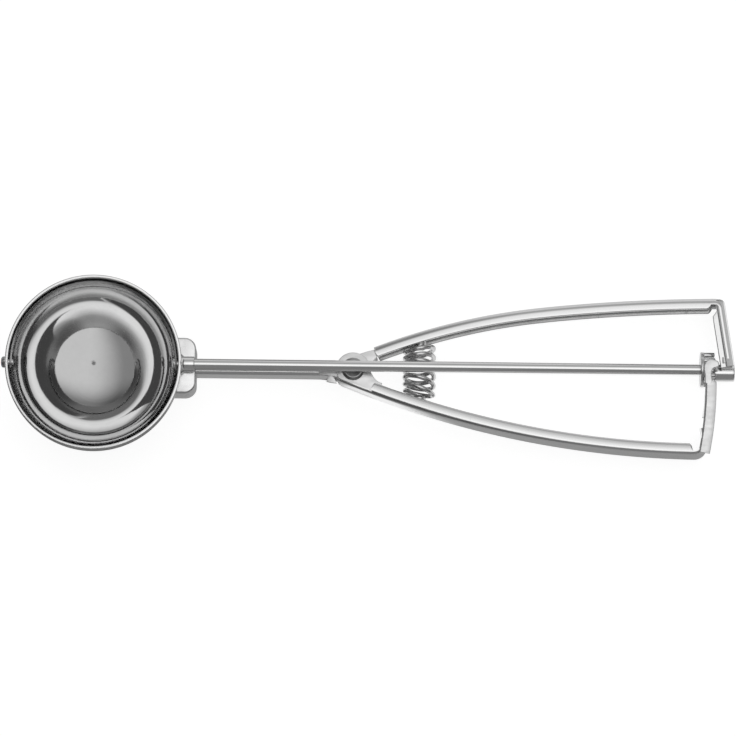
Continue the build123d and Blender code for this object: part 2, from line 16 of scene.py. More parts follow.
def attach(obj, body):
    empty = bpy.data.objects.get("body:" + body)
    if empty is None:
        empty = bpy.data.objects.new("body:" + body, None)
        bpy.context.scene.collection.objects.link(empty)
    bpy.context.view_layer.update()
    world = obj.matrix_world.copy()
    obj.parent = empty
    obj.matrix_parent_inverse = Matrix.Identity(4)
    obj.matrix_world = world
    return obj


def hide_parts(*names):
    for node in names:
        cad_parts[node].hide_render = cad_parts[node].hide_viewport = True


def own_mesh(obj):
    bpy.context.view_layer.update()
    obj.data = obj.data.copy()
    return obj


bl_info = {
    "name": "Squeeze scoop",
    "version": (1, 0, 0),
    "blender": (4, 5, 0),
    "location": "View3D > Sidebar > Scoop",
    "description": "Builds a lever ice cream scoop and its studio around the packed frame",
    "category": "Add Mesh",
}

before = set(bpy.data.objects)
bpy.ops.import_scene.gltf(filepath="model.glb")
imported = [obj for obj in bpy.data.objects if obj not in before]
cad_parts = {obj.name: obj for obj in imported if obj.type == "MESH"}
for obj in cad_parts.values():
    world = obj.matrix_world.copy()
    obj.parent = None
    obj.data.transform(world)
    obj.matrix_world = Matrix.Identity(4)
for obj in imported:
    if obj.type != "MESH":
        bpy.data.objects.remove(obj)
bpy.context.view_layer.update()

MM = 0.001

# --- where the scoop lies in the frame --------------------------------------------------------------
ORIGIN = Vector((-86.7998, 0.0630, 28.0200))
TOOL_X = Vector((0.9935395, 0.0, -0.1134865))
TOOL_Y = Vector((-0.0036253, 0.9994896, -0.0317386))
TOOL_Z = Vector((0.1134286, 0.0319449, 0.9930325))

# --- shared places ------------------------------------------------------------------------------------
PIVOT = (82.4, -0.5)
MID_Z = -10.0
INCLINE = radians(5.15)
BRACKET_BACK = 32.4
NECK_END = 75.4
UPPER_H = 10.6
LEVER_H = 13.4
UPPER_NEAR_Z = -4.7
LEVER_NEAR_Z = -3.3
UPPER_START_U = 6.8
UPPER_FRONT = (81.1268, -187.8470, 209.0)     # centre u, v and radius of the fixed arm's front arc
UPPER_REAR = (115.3, -537.155, 560.0)
UPPER_JOINT_U = 60.6
UPPER_CORNER = (115.3, 19.345, 3.5)
CROSS_LEAN = radians(9)
CROSS_END_V = 3.6
LOWER_ARC = (115.2005, 282.4, 310.0)
LOWER_FRONT_U = -4.4
LOWER_FLANGE_U = 5.8
LOWER_REAR_U = 108.598
LOWER_CORNER_R = 4.0
STRIP_R = (111.45, 115.0)
STRIP_MIDDLE = (82.4, -5.5)
STRIP_Z = 6.05
SPRING_U = 21.2
SPRING_LEAN = 0.34
WHEEL_X = 192.6
SADDLE_X = (196.7, 203.5)


def placed(point):
    """A point of the scoop, in millimetres of its own axes, as metres in the frame."""
    x, y, z = point
    return (ORIGIN + TOOL_X * x + TOOL_Y * y + TOOL_Z * z) * MM


def tilted(u, v, w):
    """From the handles' flat plane, with its origin at the pivot, to the scoop's axes."""
    return (PIVOT[0] + u * cos(INCLINE) - w * sin(INCLINE), PIVOT[1] + v,
            MID_Z + u * sin(INCLINE) + w * cos(INCLINE))


def mm(length):
    return length / MM


# --- mesh work ----------------------------------------------------------------------------------------
class Form:
    """Points and faces of one piece."""

    def __init__(self):
        self.points = []
        self.faces = []

    def add(self, points):
        start = len(self.points)
        self.points.extend(points)
        return start

    def skin(self, rings, closed=True, loop=False):
        """Quads between like rings of points; closed joins each ring to itself, loop joins last to first."""
        starts = [self.add(ring) for ring in rings]
        count = len(rings[0])
        pairs = list(zip(starts, starts[1:])) + ([(starts[-1], starts[0])] if loop else [])
        for a, b in pairs:
            for i in range(count if closed else count - 1):
                j = (i + 1) % count
                self.faces.append((a + i, a + j, b + j, b + i))
        if closed and not loop:
            self.faces.append(tuple(starts[0] + i for i in reversed(range(count))))
            self.faces.append(tuple(starts[-1] + i for i in range(count)))
        return self

    def join(self, other):
        start = self.add(other.points)
        self.faces.extend(tuple(start + i for i in face) for face in other.faces)
        return self


def turned(profile, steps, place, loop=False):
    """A turned form: profile holds (distance along the axis, radius), place(along, across, up) gives the point.

    loop closes the profile on itself, as a washer or a tube needs.
    """
    rings = []
    for along, radius in profile:
        ring = []
        for i in range(steps):
            angle = 2 * pi * i / steps
            ring.append(place(along, radius * cos(angle), radius * sin(angle)))
        rings.append(ring)
    return Form().skin(rings, loop=loop)


def along_x(x0=0.0, y=0.0, z=0.0):
    return lambda a, b, c: (x0 + a, y + b, z + c)


def along_z(x=PIVOT[0], y=PIVOT[1]):
    return lambda a, b, c: (x + b, y + c, a)


def quarter(centre, radius, start, end, steps):
    """Points of an arc in a profile, angles in degrees."""
    a0, a1 = radians(start), radians(end)
    return [(centre[0] + radius * cos(a0 + (a1 - a0) * i / steps),
             centre[1] + radius * sin(a0 + (a1 - a0) * i / steps))
            for i in range(steps + 1)]


def circle(x, y, radius, steps=48):
    return [(x + radius * cos(2 * pi * i / steps),
             y + radius * sin(2 * pi * i / steps)) for i in range(steps)]


def hull(points):
    """Convex outline round flat points."""
    points = sorted(set(points))

    def half(run):
        kept = []
        for p in run:
            while len(kept) > 1 and ((kept[-1][0] - kept[-2][0]) * (p[1] - kept[-2][1])
                                     - (kept[-1][1] - kept[-2][1]) * (p[0] - kept[-2][0])) <= 1e-9:
                kept.pop()
            kept.append(p)
        return kept[:-1]
    return half(points) + half(points[::-1])


def merged(*outlines):
    """One outline round several overlapping ones."""
    points, faces = [], []
    for outline in outlines:
        faces.append(list(range(len(points), len(points) + len(outline))))
        points.extend(Vector(p) for p in outline)
    verts, _, triangles, *_ = delaunay_2d_cdt(points, [], faces, 1, 1e-5)
    after = {}
    for t in triangles:
        for a, b in zip(t, list(t[1:]) + [t[0]]):
            after[(a, b)] = True
    edge = {a: b for a, b in after if (b, a) not in after}
    start = min(edge, key=lambda i: tuple(verts[i]))
    loop, at = [start], edge[start]
    while at != start:
        loop.append(at)
        at = edge[at]
    return [tuple(verts[i]) for i in loop]


def inset(outline, distance):
    """The outline moved inwards, point by point; outlines run anticlockwise."""
    count = len(outline)
    moved = []
    for i, p in enumerate(outline):
        a, b = Vector(outline[i - 1]), Vector(outline[(i + 1) % count])
        here = Vector(p)
        first, second = (here - a), (b - here)
        if first.length < 1e-7 or second.length < 1e-7:
            moved.append(tuple(here))
            continue
        n1 = Vector((-first.y, first.x)).normalized()
        n2 = Vector((-second.y, second.x)).normalized()
        normal = n1 + n2
        if normal.length < 1e-6:
            moved.append(tuple(here))
            continue
        normal.normalize()
        moved.append(tuple(here + normal * min(distance / max(normal.dot(n1), 0.5), 2 * distance)))
    return moved


def plate(outline, z0, z1, place, edge=0.2, steps=3):
    """A pressed plate with rounded edges; place(x, y, z) gives the point."""
    low = [[place(x, y, z0 + edge * (1 - cos(pi / 2 * i / steps))) for x, y in
            inset(outline, edge * (1 - sin(pi / 2 * i / steps)))] for i in range(steps + 1)]
    high = [[place(x, y, z1 - edge * (1 - cos(pi / 2 * i / steps))) for x, y in
             inset(outline, edge * (1 - sin(pi / 2 * i / steps)))] for i in range(steps, -1, -1)]
    return Form().skin(low + high)


def tube(line, radius, steps=16):
    """A round wire along a line of points."""
    rings = []
    count = len(line)
    normal = None
    for i, p in enumerate(line):
        here = Vector(p)
        before, after = Vector(line[max(0, i - 1)]), Vector(line[min(count - 1, i + 1)])
        ahead = (after - before).normalized()
        if normal is None:
            normal = ahead.orthogonal().normalized()
        normal = (normal - ahead * normal.dot(ahead)).normalized()
        side = ahead.cross(normal)
        r = radius(i / (count - 1)) if callable(radius) else radius
        rings.append([tuple(here + (normal * cos(2 * pi * k / steps) + side * sin(2 * pi * k / steps)) * r)
                      for k in range(steps)])
    return Form().skin(rings)


def paint_shade_inside(piece, material, level):
    """Gives the faces that look up from under the middle level a second finish: a darker colour, which is painted shade
    inside the channel, and more roughness.
    """
    piece.data.materials.append(material)
    for face in piece.data.polygons:
        if face.normal.dot(TOOL_Z) > 0.2 and (face.center / MM - ORIGIN).dot(TOOL_Z) < level(face.center):
            face.material_index = 1


def make_piece(name, form, material, body, replaces=(), sharp=32.0, place=placed):
    """Turns a form into a smooth-shaded piece that rides on a body of the frame."""
    mesh = bpy.data.meshes.new(name)
    mesh.from_pydata([tuple(place(p)) for p in form.points], [], form.faces)
    mesh.validate()
    bm = bmesh.new()
    bm.from_mesh(mesh)
    bmesh.ops.remove_doubles(bm, verts=bm.verts, dist=2e-7)
    bmesh.ops.recalc_face_normals(bm, faces=bm.faces)
    bm.to_mesh(mesh)
    bm.free()
    mesh.shade_smooth()
    mesh.set_sharp_from_angle(angle=radians(sharp))
    piece = bpy.data.objects.new(name, mesh)
    bpy.context.scene.collection.objects.link(piece)
    mesh.materials.append(material)
    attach(piece, body)
    if replaces:
        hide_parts(*replaces)
    return piece


# --- finishes -----------------------------------------------------------------------------------------
def steel(name, tint, roughness, grain=(1.0, 1.0, 1.0), grain_scale=900.0, grain_depth=0.3,
          scratch_depth=0.15, smudge=0.06, streak=0.10, rings=0.0):
    """Polished stainless steel: fine grain, hairline scratches and faint handling marks, all in its nodes."""
    if name in bpy.data.materials:
        return bpy.data.materials[name]
    material = bpy.data.materials.new(name)
    material.use_nodes = True
    nodes, links = material.node_tree.nodes, material.node_tree.links
    nodes.clear()
    out = nodes.new("ShaderNodeOutputMaterial")
    skin = nodes.new("ShaderNodeBsdfPrincipled")
    skin.inputs["Metallic"].default_value = 1.0
    links.new(skin.outputs["BSDF"], out.inputs["Surface"])
    place = nodes.new("ShaderNodeTexCoord")

    def noise(scale, stretch, detail, rough=0.6):
        mapping = nodes.new("ShaderNodeMapping")
        mapping.inputs["Scale"].default_value = stretch
        links.new(place.outputs["Object"], mapping.inputs["Vector"])
        cloud = nodes.new("ShaderNodeTexNoise")
        cloud.inputs["Scale"].default_value = scale
        cloud.inputs["Detail"].default_value = detail
        cloud.inputs["Roughness"].default_value = rough
        links.new(mapping.outputs["Vector"], cloud.inputs["Vector"])
        return cloud.outputs["Fac"]

    def ranged(value, low, high, from_low=0.3, from_high=0.7):
        step = nodes.new("ShaderNodeMapRange")
        step.inputs["From Min"].default_value = from_low
        step.inputs["From Max"].default_value = from_high
        step.inputs["To Min"].default_value = low
        step.inputs["To Max"].default_value = high
        links.new(value, step.inputs["Value"])
        return step.outputs["Result"]

    def add(first, second, kind="ADD"):
        step = nodes.new("ShaderNodeMath")
        step.operation = kind
        for socket, value in zip(step.inputs, (first, second)):
            if isinstance(value, (int, float)):
                socket.default_value = value
            else:
                links.new(value, socket)
        return step.outputs["Value"]

    brushing = noise(grain_scale, grain, 3.0)
    marks = noise(70.0, (1.0, 1.0, 1.0), 4.0)
    hairs = noise(420.0, (grain[1] + 0.05, grain[0] + 0.02, 0.7), 2.0, 0.8)
    hairline = ranged(hairs, 0.0, 1.0, 0.66, 0.74)
    rough = add(ranged(brushing, roughness * (1 - streak * 2), roughness * (1 + streak * 2)),
                ranged(marks, 0.0, smudge, 0.42, 0.78))
    rough = add(rough, add(hairline, 0.08, "MULTIPLY"))
    height = add(brushing, add(hairline, -scratch_depth, "MULTIPLY"))
    if rings:
        away, turnings = round_bowl(nodes, links, place)
        height = add(height, add(turnings, rings, "MULTIPLY"))
        rough = add(rough, ranged(away, 0.0, 0.20, 0.0243, 0.0266))
    links.new(rough, skin.inputs["Roughness"])

    ramp = nodes.new("ShaderNodeValToRGB")
    low, high = ramp.color_ramp.elements
    low.position, high.position = 0.30, 0.72
    low.color = tuple(c * 0.95 for c in tint) + (1.0,)
    high.color = tuple(min(1.0, c * 1.03) for c in tint) + (1.0,)
    links.new(add(add(marks, 0.6, "MULTIPLY"), add(brushing, 0.4, "MULTIPLY")), ramp.inputs["Fac"])
    links.new(ramp.outputs["Color"], skin.inputs["Base Color"])

    bump = nodes.new("ShaderNodeBump")
    bump.inputs["Strength"].default_value = grain_depth
    bump.inputs["Distance"].default_value = 0.00001
    links.new(height, bump.inputs["Height"])
    links.new(bump.outputs["Normal"], skin.inputs["Normal"])
    return material


def round_bowl(nodes, links, place):
    """Distance from the bowl's axis, and fine polishing rings round it."""
    from_middle = nodes.new("ShaderNodeVectorMath")
    from_middle.operation = "SUBTRACT"
    links.new(place.outputs["Object"], from_middle.inputs[0])
    from_middle.inputs[1].default_value = tuple(ORIGIN * MM)
    out_from = nodes.new("ShaderNodeVectorMath")
    out_from.operation = "CROSS_PRODUCT"
    links.new(from_middle.outputs["Vector"], out_from.inputs[0])
    out_from.inputs[1].default_value = tuple(TOOL_Z)
    away = nodes.new("ShaderNodeVectorMath")
    away.operation = "LENGTH"
    links.new(out_from.outputs["Vector"], away.inputs[0])
    turnings = nodes.new("ShaderNodeTexNoise")
    turnings.noise_dimensions = "1D"
    turnings.inputs["Scale"].default_value = 1600.0
    turnings.inputs["Detail"].default_value = 3.0
    links.new(away.outputs["Value"], turnings.inputs["W"])
    return away.outputs["Value"], turnings.outputs["Fac"]


def finishes():
    """The scoop's finishes, from the settings in the sidebar."""
    look = bpy.context.scene.scoop_steel
    tint = tuple(look.tint)
    polish = look.polish
    bright = tuple(c * 1.02 for c in tint)
    return {
        "bowl": steel("Polished bowl steel", tint, polish * 0.22, (1, 1, 0.25), 500, 0.06, 0.2, 0.02, 0.06,
                      rings=look.bowl_rings),
        "band": steel("Scraper strip steel", tint, polish * 1.1, (0.2, 0.2, 1), 700, 0.2),
        "handle": steel("Rolled handle steel", bright, polish, (0.06, 1, 1), 900, look.grain, 0.2, 0.05,
                        0.10),
        "rod": steel("Drawn rod steel", bright, polish * 0.75, (0.03, 1, 1), 1100, 0.15, 0.15, 0.03, 0.08),
        "bracket": steel("Satin bracket steel", tint, polish * 1.6, (0.5, 1, 1), 700, 0.35, 0.2, 0.08),
        "rivet": steel("Turned rivet steel", tuple(c * 0.86 for c in tint), polish * 1.5, (1, 1, 0.2), 900,
                       0.4),
        "pivot": steel("Dull pivot steel", tuple(c * 0.55 for c in tint), polish * 2.2, (1, 1, 0.2), 900,
                       0.4),
        "plate": steel("Satin plate steel", bright, polish * 2.3, (0.3, 1, 1), 800, 0.3, 0.2, 0.08),
        # painted shade: this finish's darker colour stands in for the shade inside the handles' channels; its higher
        # roughness is a duller finish
        "inside": steel("Painted shade inside steel", tuple(c * 0.62 for c in tint), polish * 1.6, (0.2, 1, 1),
                        800, 0.3),
        "spring": steel("Spring wire steel", tuple(c * 0.9 for c in tint), polish * 1.1, (1, 0.15, 1), 800,
                        0.2),
        "rack": steel("Punched rack steel", tint, polish * 1.4, (1, 0.2, 1), 900, 0.3),
    }


# --- settings -----------------------------------------------------------------------------------------
def length(name, description, default):
    return bpy.props.FloatProperty(name=name, description=description, default=default, min=0.0,
                                   unit="LENGTH", precision=5)


class ScoopBowlSettings(bpy.types.PropertyGroup):
    radius: length("Bowl radius", "Outside radius of the bowl", 0.027997)
    wall: length("Wall", "Thickness of the bowl's wall", 0.001)
    collar: length("Collar", "Straight part above the half ball", 0.003)
    rim: length("Rim rounding", "Rounding of the rim's two edges", 0.00025)
    band_radius: length("Strip radius", "Outside radius of the scraper strip", 0.02665)
    band_thickness: length("Strip thickness", "Thickness of the scraper strip", 0.0007)
    band_half_width: length("Strip half width", "Half the width of the scraper strip", 0.0028)
    band_rest: bpy.props.FloatProperty(name="Strip rest",
                                       description="Angle of the strip above the mouth's edge",
                                       default=radians(6), subtype="ANGLE", unit="ROTATION")


class ScoopHandleSettings(bpy.types.PropertyGroup):
    sheet: length("Sheet", "Thickness of the handles' sheet", 0.001)
    fixed_bend: length("Fixed bend", "Outside radius of the fixed handle's bends", 0.002)
    squeeze_bend: length("Squeeze bend", "Outside radius of the squeeze handle's bends", 0.0012)
    fixed_depth: length("Fixed depth", "Depth of the fixed handle's channel", 0.0036)
    squeeze_depth: length("Squeeze depth", "Depth of the squeeze handle's channel", 0.0038)
    fixed_crown: length("Fixed crown", "Radius of the slight roll of the fixed handle's flange faces", 0.020)
    squeeze_crown: length("Squeeze crown", "Radius of the roll of the squeeze handle's flange faces", 0.0084)


class ScoopWorksSettings(bpy.types.PropertyGroup):
    rod: length("Rod radius", "Radius of the long rod", 0.00175)
    rivet_head: length("Rivet head", "Radius of the pivot rivet's heads", 0.0036)
    spring_radius: length("Spring radius", "Outside radius of the return spring", 0.0054)
    wire: length("Wire", "Thickness of the spring's wire", 0.0015)
    coil_facing: length("Coil facing", "How far the coils' near sides stand to the fixed handle's side",
                        0.0012)
    coils: bpy.props.FloatProperty(name="Coils", description="Turns of the return spring", default=6.4,
                                   min=1.0)


class ScoopSteelSettings(bpy.types.PropertyGroup):
    tint: bpy.props.FloatVectorProperty(name="Steel", description="Colour of the polished steel",
                                        subtype="COLOR",
                                        size=3, min=0.0, max=1.0, default=(0.69, 0.69, 0.69))
    polish: bpy.props.FloatProperty(name="Polish",
                                    description="Roughness of the polished handles, 0 is a mirror",
                                    default=0.15, min=0.0, max=1.0, subtype="FACTOR")
    bowl_rings: bpy.props.FloatProperty(name="Bowl's rings",
                                        description="Strength of the polishing rings in the bowl",
                                        default=3.0, min=0.0, max=20.0)
    grain: bpy.props.FloatProperty(name="Grain", description="Strength of the rolling grain", default=0.2,
                                   min=0.0, max=1.0, subtype="FACTOR")


class ScoopStudioSettings(bpy.types.PropertyGroup):
    distance: length("Camera distance", "From the camera to the scoop's middle", 1.6)
    view_angle: bpy.props.FloatProperty(name="View angle", description="Width of the camera's view",
                                        default=radians(8.352), subtype="ANGLE", unit="ROTATION")
    lean: bpy.props.FloatProperty(name="Lean",
                                  description="How far the camera leans to the squeeze handle's side",
                                  default=radians(8.5), subtype="ANGLE", unit="ROTATION")
    roll: bpy.props.FloatProperty(name="Roll", description="Turn of the camera about its view",
                                  default=radians(0.65), subtype="ANGLE", unit="ROTATION")
    floor: bpy.props.FloatVectorProperty(name="Floor", description="Colour of the floor", subtype="COLOR",
                                         size=3,
                                         min=0.0, max=1.0, default=(0.9, 0.9, 0.9))


# --- bowl and scraper ---------------------------------------------------------------------------------
class ScoopBowl(bpy.types.Operator):
    """Add the bowl, a spun half ball with a short collar and a rounded rim"""
    bl_idname = "scoop.bowl"
    bl_label = "Bowl"

    def execute(self, context):
        sizes = context.scene.scoop_bowl
        outer, top, rim = mm(sizes.radius), mm(sizes.collar), mm(sizes.rim)
        inner = outer - mm(sizes.wall)
        profile = [(-outer * cos(pi / 2 * i / 72),
                    max(0.02, outer * sin(pi / 2 * i / 72))) for i in range(73)]
        profile += [(z, outer) for z in (top * 0.35, top * 0.7)]
        profile += [(b, a) for a, b in quarter((outer - rim, top - rim), rim, 0, 90, 5)]
        profile += [(b, a) for a, b in quarter((inner + rim, top - rim), rim, 90, 180, 5)]
        profile += [(z, inner) for z in (top * 0.7, top * 0.35)]
        profile += [(-inner * sin(pi / 2 * i / 72),
                     max(0.02, inner * cos(pi / 2 * i / 72))) for i in range(73)]
        form = turned(profile, 224, along_z(0.0, 0.0))
        make_piece("bowl_shell", form, finishes()["bowl"], "frame", ["bowl"], sharp=50)
        return {"FINISHED"}


class ScoopScraper(bpy.types.Operator):
    """Add the half-round scraper strip that sweeps the inside of the bowl"""
    bl_idname = "scoop.scraper"
    bl_label = "Scraper strip"

    def execute(self, context):
        sizes = context.scene.scoop_bowl
        outer, half = mm(sizes.band_radius), mm(sizes.band_half_width)
        inner = outer - mm(sizes.band_thickness)
        tab = asin(half / outer)
        edge = 0.33
        rings = []
        for i in range(161):
            turn = i / 160
            angle = -tab * 0.999 + (pi + 2 * tab * 0.999) * turn
            reach = -outer * sin(angle) if angle < 0 or angle > pi else 0.0
            high = sqrt(max(0.0004, half ** 2 - reach ** 2))
            soft = min(edge, high * 0.45)
            section = []
            for radius, side in ((outer, 1), (inner, -1)):
                for k in range(7):
                    h = side * (-1 + 2 * k / 6) * (high - soft)
                    section.append((radius, h))
                corner = (radius - side * soft, side * (high - soft))
                section.append((corner[0] + side * soft * 0.707, corner[1] + side * soft * 0.707))
                section.append((corner[0], side * high))
            ring = []
            for radius, h in section:
                flat = sqrt(radius ** 2 - h ** 2)
                x, y = -flat * cos(angle), flat * sin(angle)
                rest = -sizes.band_rest
                ring.append((x, y * cos(rest) - h * sin(rest), y * sin(rest) + h * cos(rest)))
            rings.append(ring)
        form = Form().skin(rings)
        make_piece("scraper_strip", form, finishes()["band"], "scraper", ["scraper_band"],
                   sharp=50)
        return {"FINISHED"}


class ScoopFrontPin(bpy.types.Operator):
    """Add the front pin that the scraper strip turns on, with its washer"""
    bl_idname = "scoop.front_pin"
    bl_label = "Front pin"

    def execute(self, context):
        head = -28.4
        profile = [(head - 1.0, 0.15), (head - 0.98, 0.7), (head - 0.86, 1.25), (head - 0.62, 1.62),
                   (head - 0.35, 1.77),
                   (head - 0.1, 1.8), (head, 1.72), (head, 1.2)]
        profile += [(-25.75, 1.2), (-25.5, 1.12), (-25.35, 0.85), (-25.32, 0.1)]
        make_piece("front_pin_turned", turned(profile, 40, along_x()), finishes()["rivet"], "scraper",
                   ["front_pin"])
        ring = [(-28.35, 1.25), (-28.35, 1.68), (-28.31, 1.8), (-28.09, 1.8), (-28.05, 1.68), (-28.05, 1.25)]
        rings = turned(ring, 40, along_x(), loop=True)
        make_piece("front_washer_turned", rings, finishes()["rivet"], "scraper",
                   ["front_washer"])
        return {"FINISHED"}


# --- bracket, sleeve and neck -------------------------------------------------------------------------
class ScoopBracket(bpy.types.Operator):
    """Add the folded bracket behind the bowl and the sleeve that the rod runs through"""
    bl_idname = "scoop.bracket"
    bl_label = "Bracket and sleeve"

    def execute(self, context):
        wide, low, high, corner, edge = 8.9, -15.6, -2.45, 3.6, 0.55
        levels = [low + edge * (1 - cos(pi / 2 * i / 4)) for i in range(5)]
        levels += [low + edge + (high - low - 2 * edge) * i / 8 for i in range(1, 8)]
        levels += [high - edge * (1 - cos(pi / 2 * i / 4)) for i in range(4, -1, -1)]
        rings = []
        for z in levels:
            gap = min(z - low, high - z, edge)
            back = edge - sqrt(max(0.0, edge ** 2 - (edge - gap) ** 2))
            side, rear, r = wide - back, BRACKET_BACK - back, max(0.5, corner - back)
            ring = []
            for i in range(13):
                y = -side + 2 * side * (12 - i) / 12
                ring.append((sqrt(27.5 ** 2 - y ** 2 - z ** 2), y, z))
            for centre_y, a0, a1 in ((-(side - r), -90, 0), (side - r, 0, 90)):
                for a, b in quarter((rear - r, centre_y), r, a0, a1, 10):
                    ring.append((a, b, z))
            rings.append(ring)
        form = Form().skin(rings)
        make_piece("bowl_bracket_folded", form, finishes()["bracket"], "frame",
                   ["bowl_bracket"],
                   sharp=60)

        bore = 1.82
        profile = [(27.55, bore), (27.55, 2.9), (27.95, 3.25), (28.2, 3.0), (28.5, 2.62), (28.9, 2.45),
                   (31.75, 2.45)]
        profile += [(31.75 + 0.3 * sin(a), 2.15 + 0.3 * cos(a)) for a in (0.5, 1.0, 1.5)] + [(32.1, bore)]
        sleeve = turned(profile, 56, along_x(), loop=True)
        make_piece("rod_sleeve_turned", sleeve, finishes()["rod"], "frame", ["shaft_sleeve"])
        return {"FINISHED"}


def rounded_box(half_y, z0, z1, r, steps=6):
    """Outline of a bent box tube, in y and z."""
    loop = []
    for cy, cz, a0 in ((half_y - r, z1 - r, 0), (-half_y + r, z1 - r, 90), (-half_y + r, z0 + r, 180),
                       (half_y - r, z0 + r, 270)):
        loop += quarter((cy, cz), r, a0, a0 + 90, steps)
    return loop


def neck_form():
    low = UPPER_NEAR_Z - UPPER_H
    outer = rounded_box(2.4, low, UPPER_NEAR_Z, 1.2)
    inner = rounded_box(1.4, low + 1.0, UPPER_NEAR_Z - 1.0, 0.4)
    stations = [BRACKET_BACK - 0.3, 40, 50, 60, 70, NECK_END - 0.12, NECK_END]
    rings = []
    for x in stations:
        shrink = 0.94 if x == NECK_END else 1.0
        middle = (low + UPPER_NEAR_Z) / 2
        rings.append([(x, y * shrink, middle + (z - middle) * shrink) for y, z in outer])
    for x in stations[::-1]:
        rings.append([(x, y, z) for y, z in inner])
    return Form().skin(rings, loop=True)


# --- handles ------------------------------------------------------------------------------------------
def arc_line(centre_u, centre_v, radius, start, end, steps):
    """Stations (u, v, unit tangent) of an arc between two angles."""
    stations = []
    sense = 1 if end > start else -1
    for i in range(steps + 1):
        a = start + (end - start) * i / steps
        stations.append((centre_u + radius * cos(a), centre_v + radius * sin(a),
                         (-sin(a) * sense, cos(a) * sense)))
    return stations


def channel_section(depth, height, sheet, bend, roll, tip, droop, slope=0.0):
    """Loop of a bent channel: distance in from the web's outside, and height.

    The flange's face rolls off slightly, towards the web, or with droop towards its free edge.
    """
    half, soft = height / 2, 0.16
    begin = bend * 0.9

    def top(n):
        from_edge = max(0.0, n - begin) if droop else max(0.0, depth - n)
        return half - from_edge ** 2 / roll / 2 - slope * max(0.0, depth - n)

    lean = 0.0 if droop else atan(max(0.0, depth - begin) / roll)
    near = []
    start_n = bend * (1 - sin(lean))
    centre_w = top(start_n) - bend * cos(lean)
    for i in range(11):
        a = pi / 2 + (lean - pi / 2) * i / 10
        near.append((bend - bend * sin(a), centre_w + bend * cos(a)))
    flat_end = max(start_n + 0.02, depth - tip)
    for i in range(1, 8):
        n = start_n + (flat_end - start_n) * i / 7
        near.append((n, top(n)))
    w = top(flat_end)
    begin_turn = atan((flat_end - begin) / roll) if droop and flat_end > begin else 0.0
    fall = min(tip, 0.75)
    for i in range(1, 8):
        a = begin_turn + (pi / 2 - begin_turn) * i / 7
        share = (sin(a) - sin(begin_turn)) / (1 - sin(begin_turn))
        near.append((flat_end + (depth - flat_end) * share, w - fall * (cos(begin_turn) - cos(a))))
    under = min(half - sheet, near[-1][1] - 0.2)
    near += [(depth, under + soft), (depth - soft * 0.3, under + soft * 0.3), (depth - soft, under)]
    near += [(max(sheet + 0.05, depth * 0.6), under), (sheet + 0.2, under), (sheet + 0.06, under - 0.06),
             (sheet, under - 0.25)]
    far = [(n, -w) for n, w in near[::-1]]
    return near + far


def channel(stations, depth_at, section_at, inward):
    """A channel along flat stations, its web outside and its flanges turned inward."""
    rings = []
    run = 0.0
    total = sum(sqrt((b[0] - a[0]) ** 2 + (b[1] - a[1]) ** 2) for a, b in zip(stations, stations[1:]))
    for i, (u, v, (tu, tv)) in enumerate(stations):
        if i:
            run += sqrt((u - stations[i - 1][0]) ** 2 + (v - stations[i - 1][1]) ** 2)
        side = (-tv * inward, tu * inward)
        section = section_at(depth_at(run, total), total - run)
        rings.append([tilted(u + side[0] * n, v + side[1] * n, w) for n, w in section])
    return Form().skin(rings)


def eased_ends(depth, least, start, end):
    """Depth of a channel whose flanges end in quarter rounds."""
    def at(run, total):
        share = 1.0
        if start and run < start:
            share = min(share, sqrt(max(0.0, 1 - (1 - run / start) ** 2)))
        if end and total - run < end:
            share = min(share, sqrt(max(0.0, 1 - (1 - (total - run) / end) ** 2)))
        return least + (depth - least) * share
    return at


def ended(depth_at, before_end, least, ease=1.3):
    """The same depth, whose flange stops in a quarter round at a distance before the end."""
    def at(run, total):
        share = max(0.0, min(1.0, (total - run - before_end) / ease))
        return least + (depth_at(run, total) - least) * sqrt(max(0.0, 1 - (1 - share) ** 2))
    return at


def ease_steps(length_, count=7):
    """Extra stations near a rounded end, closer towards it."""
    return [length_ * (1 - cos(pi / 2 * i / count)) for i in range(count)]


def upper_stations():
    cu, cv, r = UPPER_FRONT
    first = atan2(sqrt(r ** 2 - (UPPER_START_U - cu) ** 2), UPPER_START_U - cu)
    joint = atan2(sqrt(r ** 2 - (UPPER_JOINT_U - cu) ** 2), UPPER_JOINT_U - cu)
    ends = [first - s / r for s in ease_steps(0.5)]
    line = [(cu + r * cos(a), cv + r * sin(a), (sin(a), -cos(a))) for a in ends]
    line += arc_line(cu, cv, r, first - 0.5 / r, joint, 36)
    cu, cv, r = UPPER_REAR
    joint = atan2(sqrt(r ** 2 - (UPPER_JOINT_U - cu) ** 2), UPPER_JOINT_U - cu)
    line += arc_line(cu, cv, r, joint, pi / 2 + 9.0 / r, 24)[1:]
    line += arc_line(cu, cv, r, pi / 2 + 9.0 / r, pi / 2, 18)[1:]
    cu, cv, r = UPPER_CORNER
    line += arc_line(cu, cv, r, pi / 2, CROSS_LEAN, 14)[1:]
    u, v, tangent = line[-1]
    steps = 10
    run = (v - CROSS_END_V) / -tangent[1]
    for i in range(1, steps + 1):
        line.append((u + tangent[0] * run * i / steps, v + tangent[1] * run * i / steps, tangent))
    return line


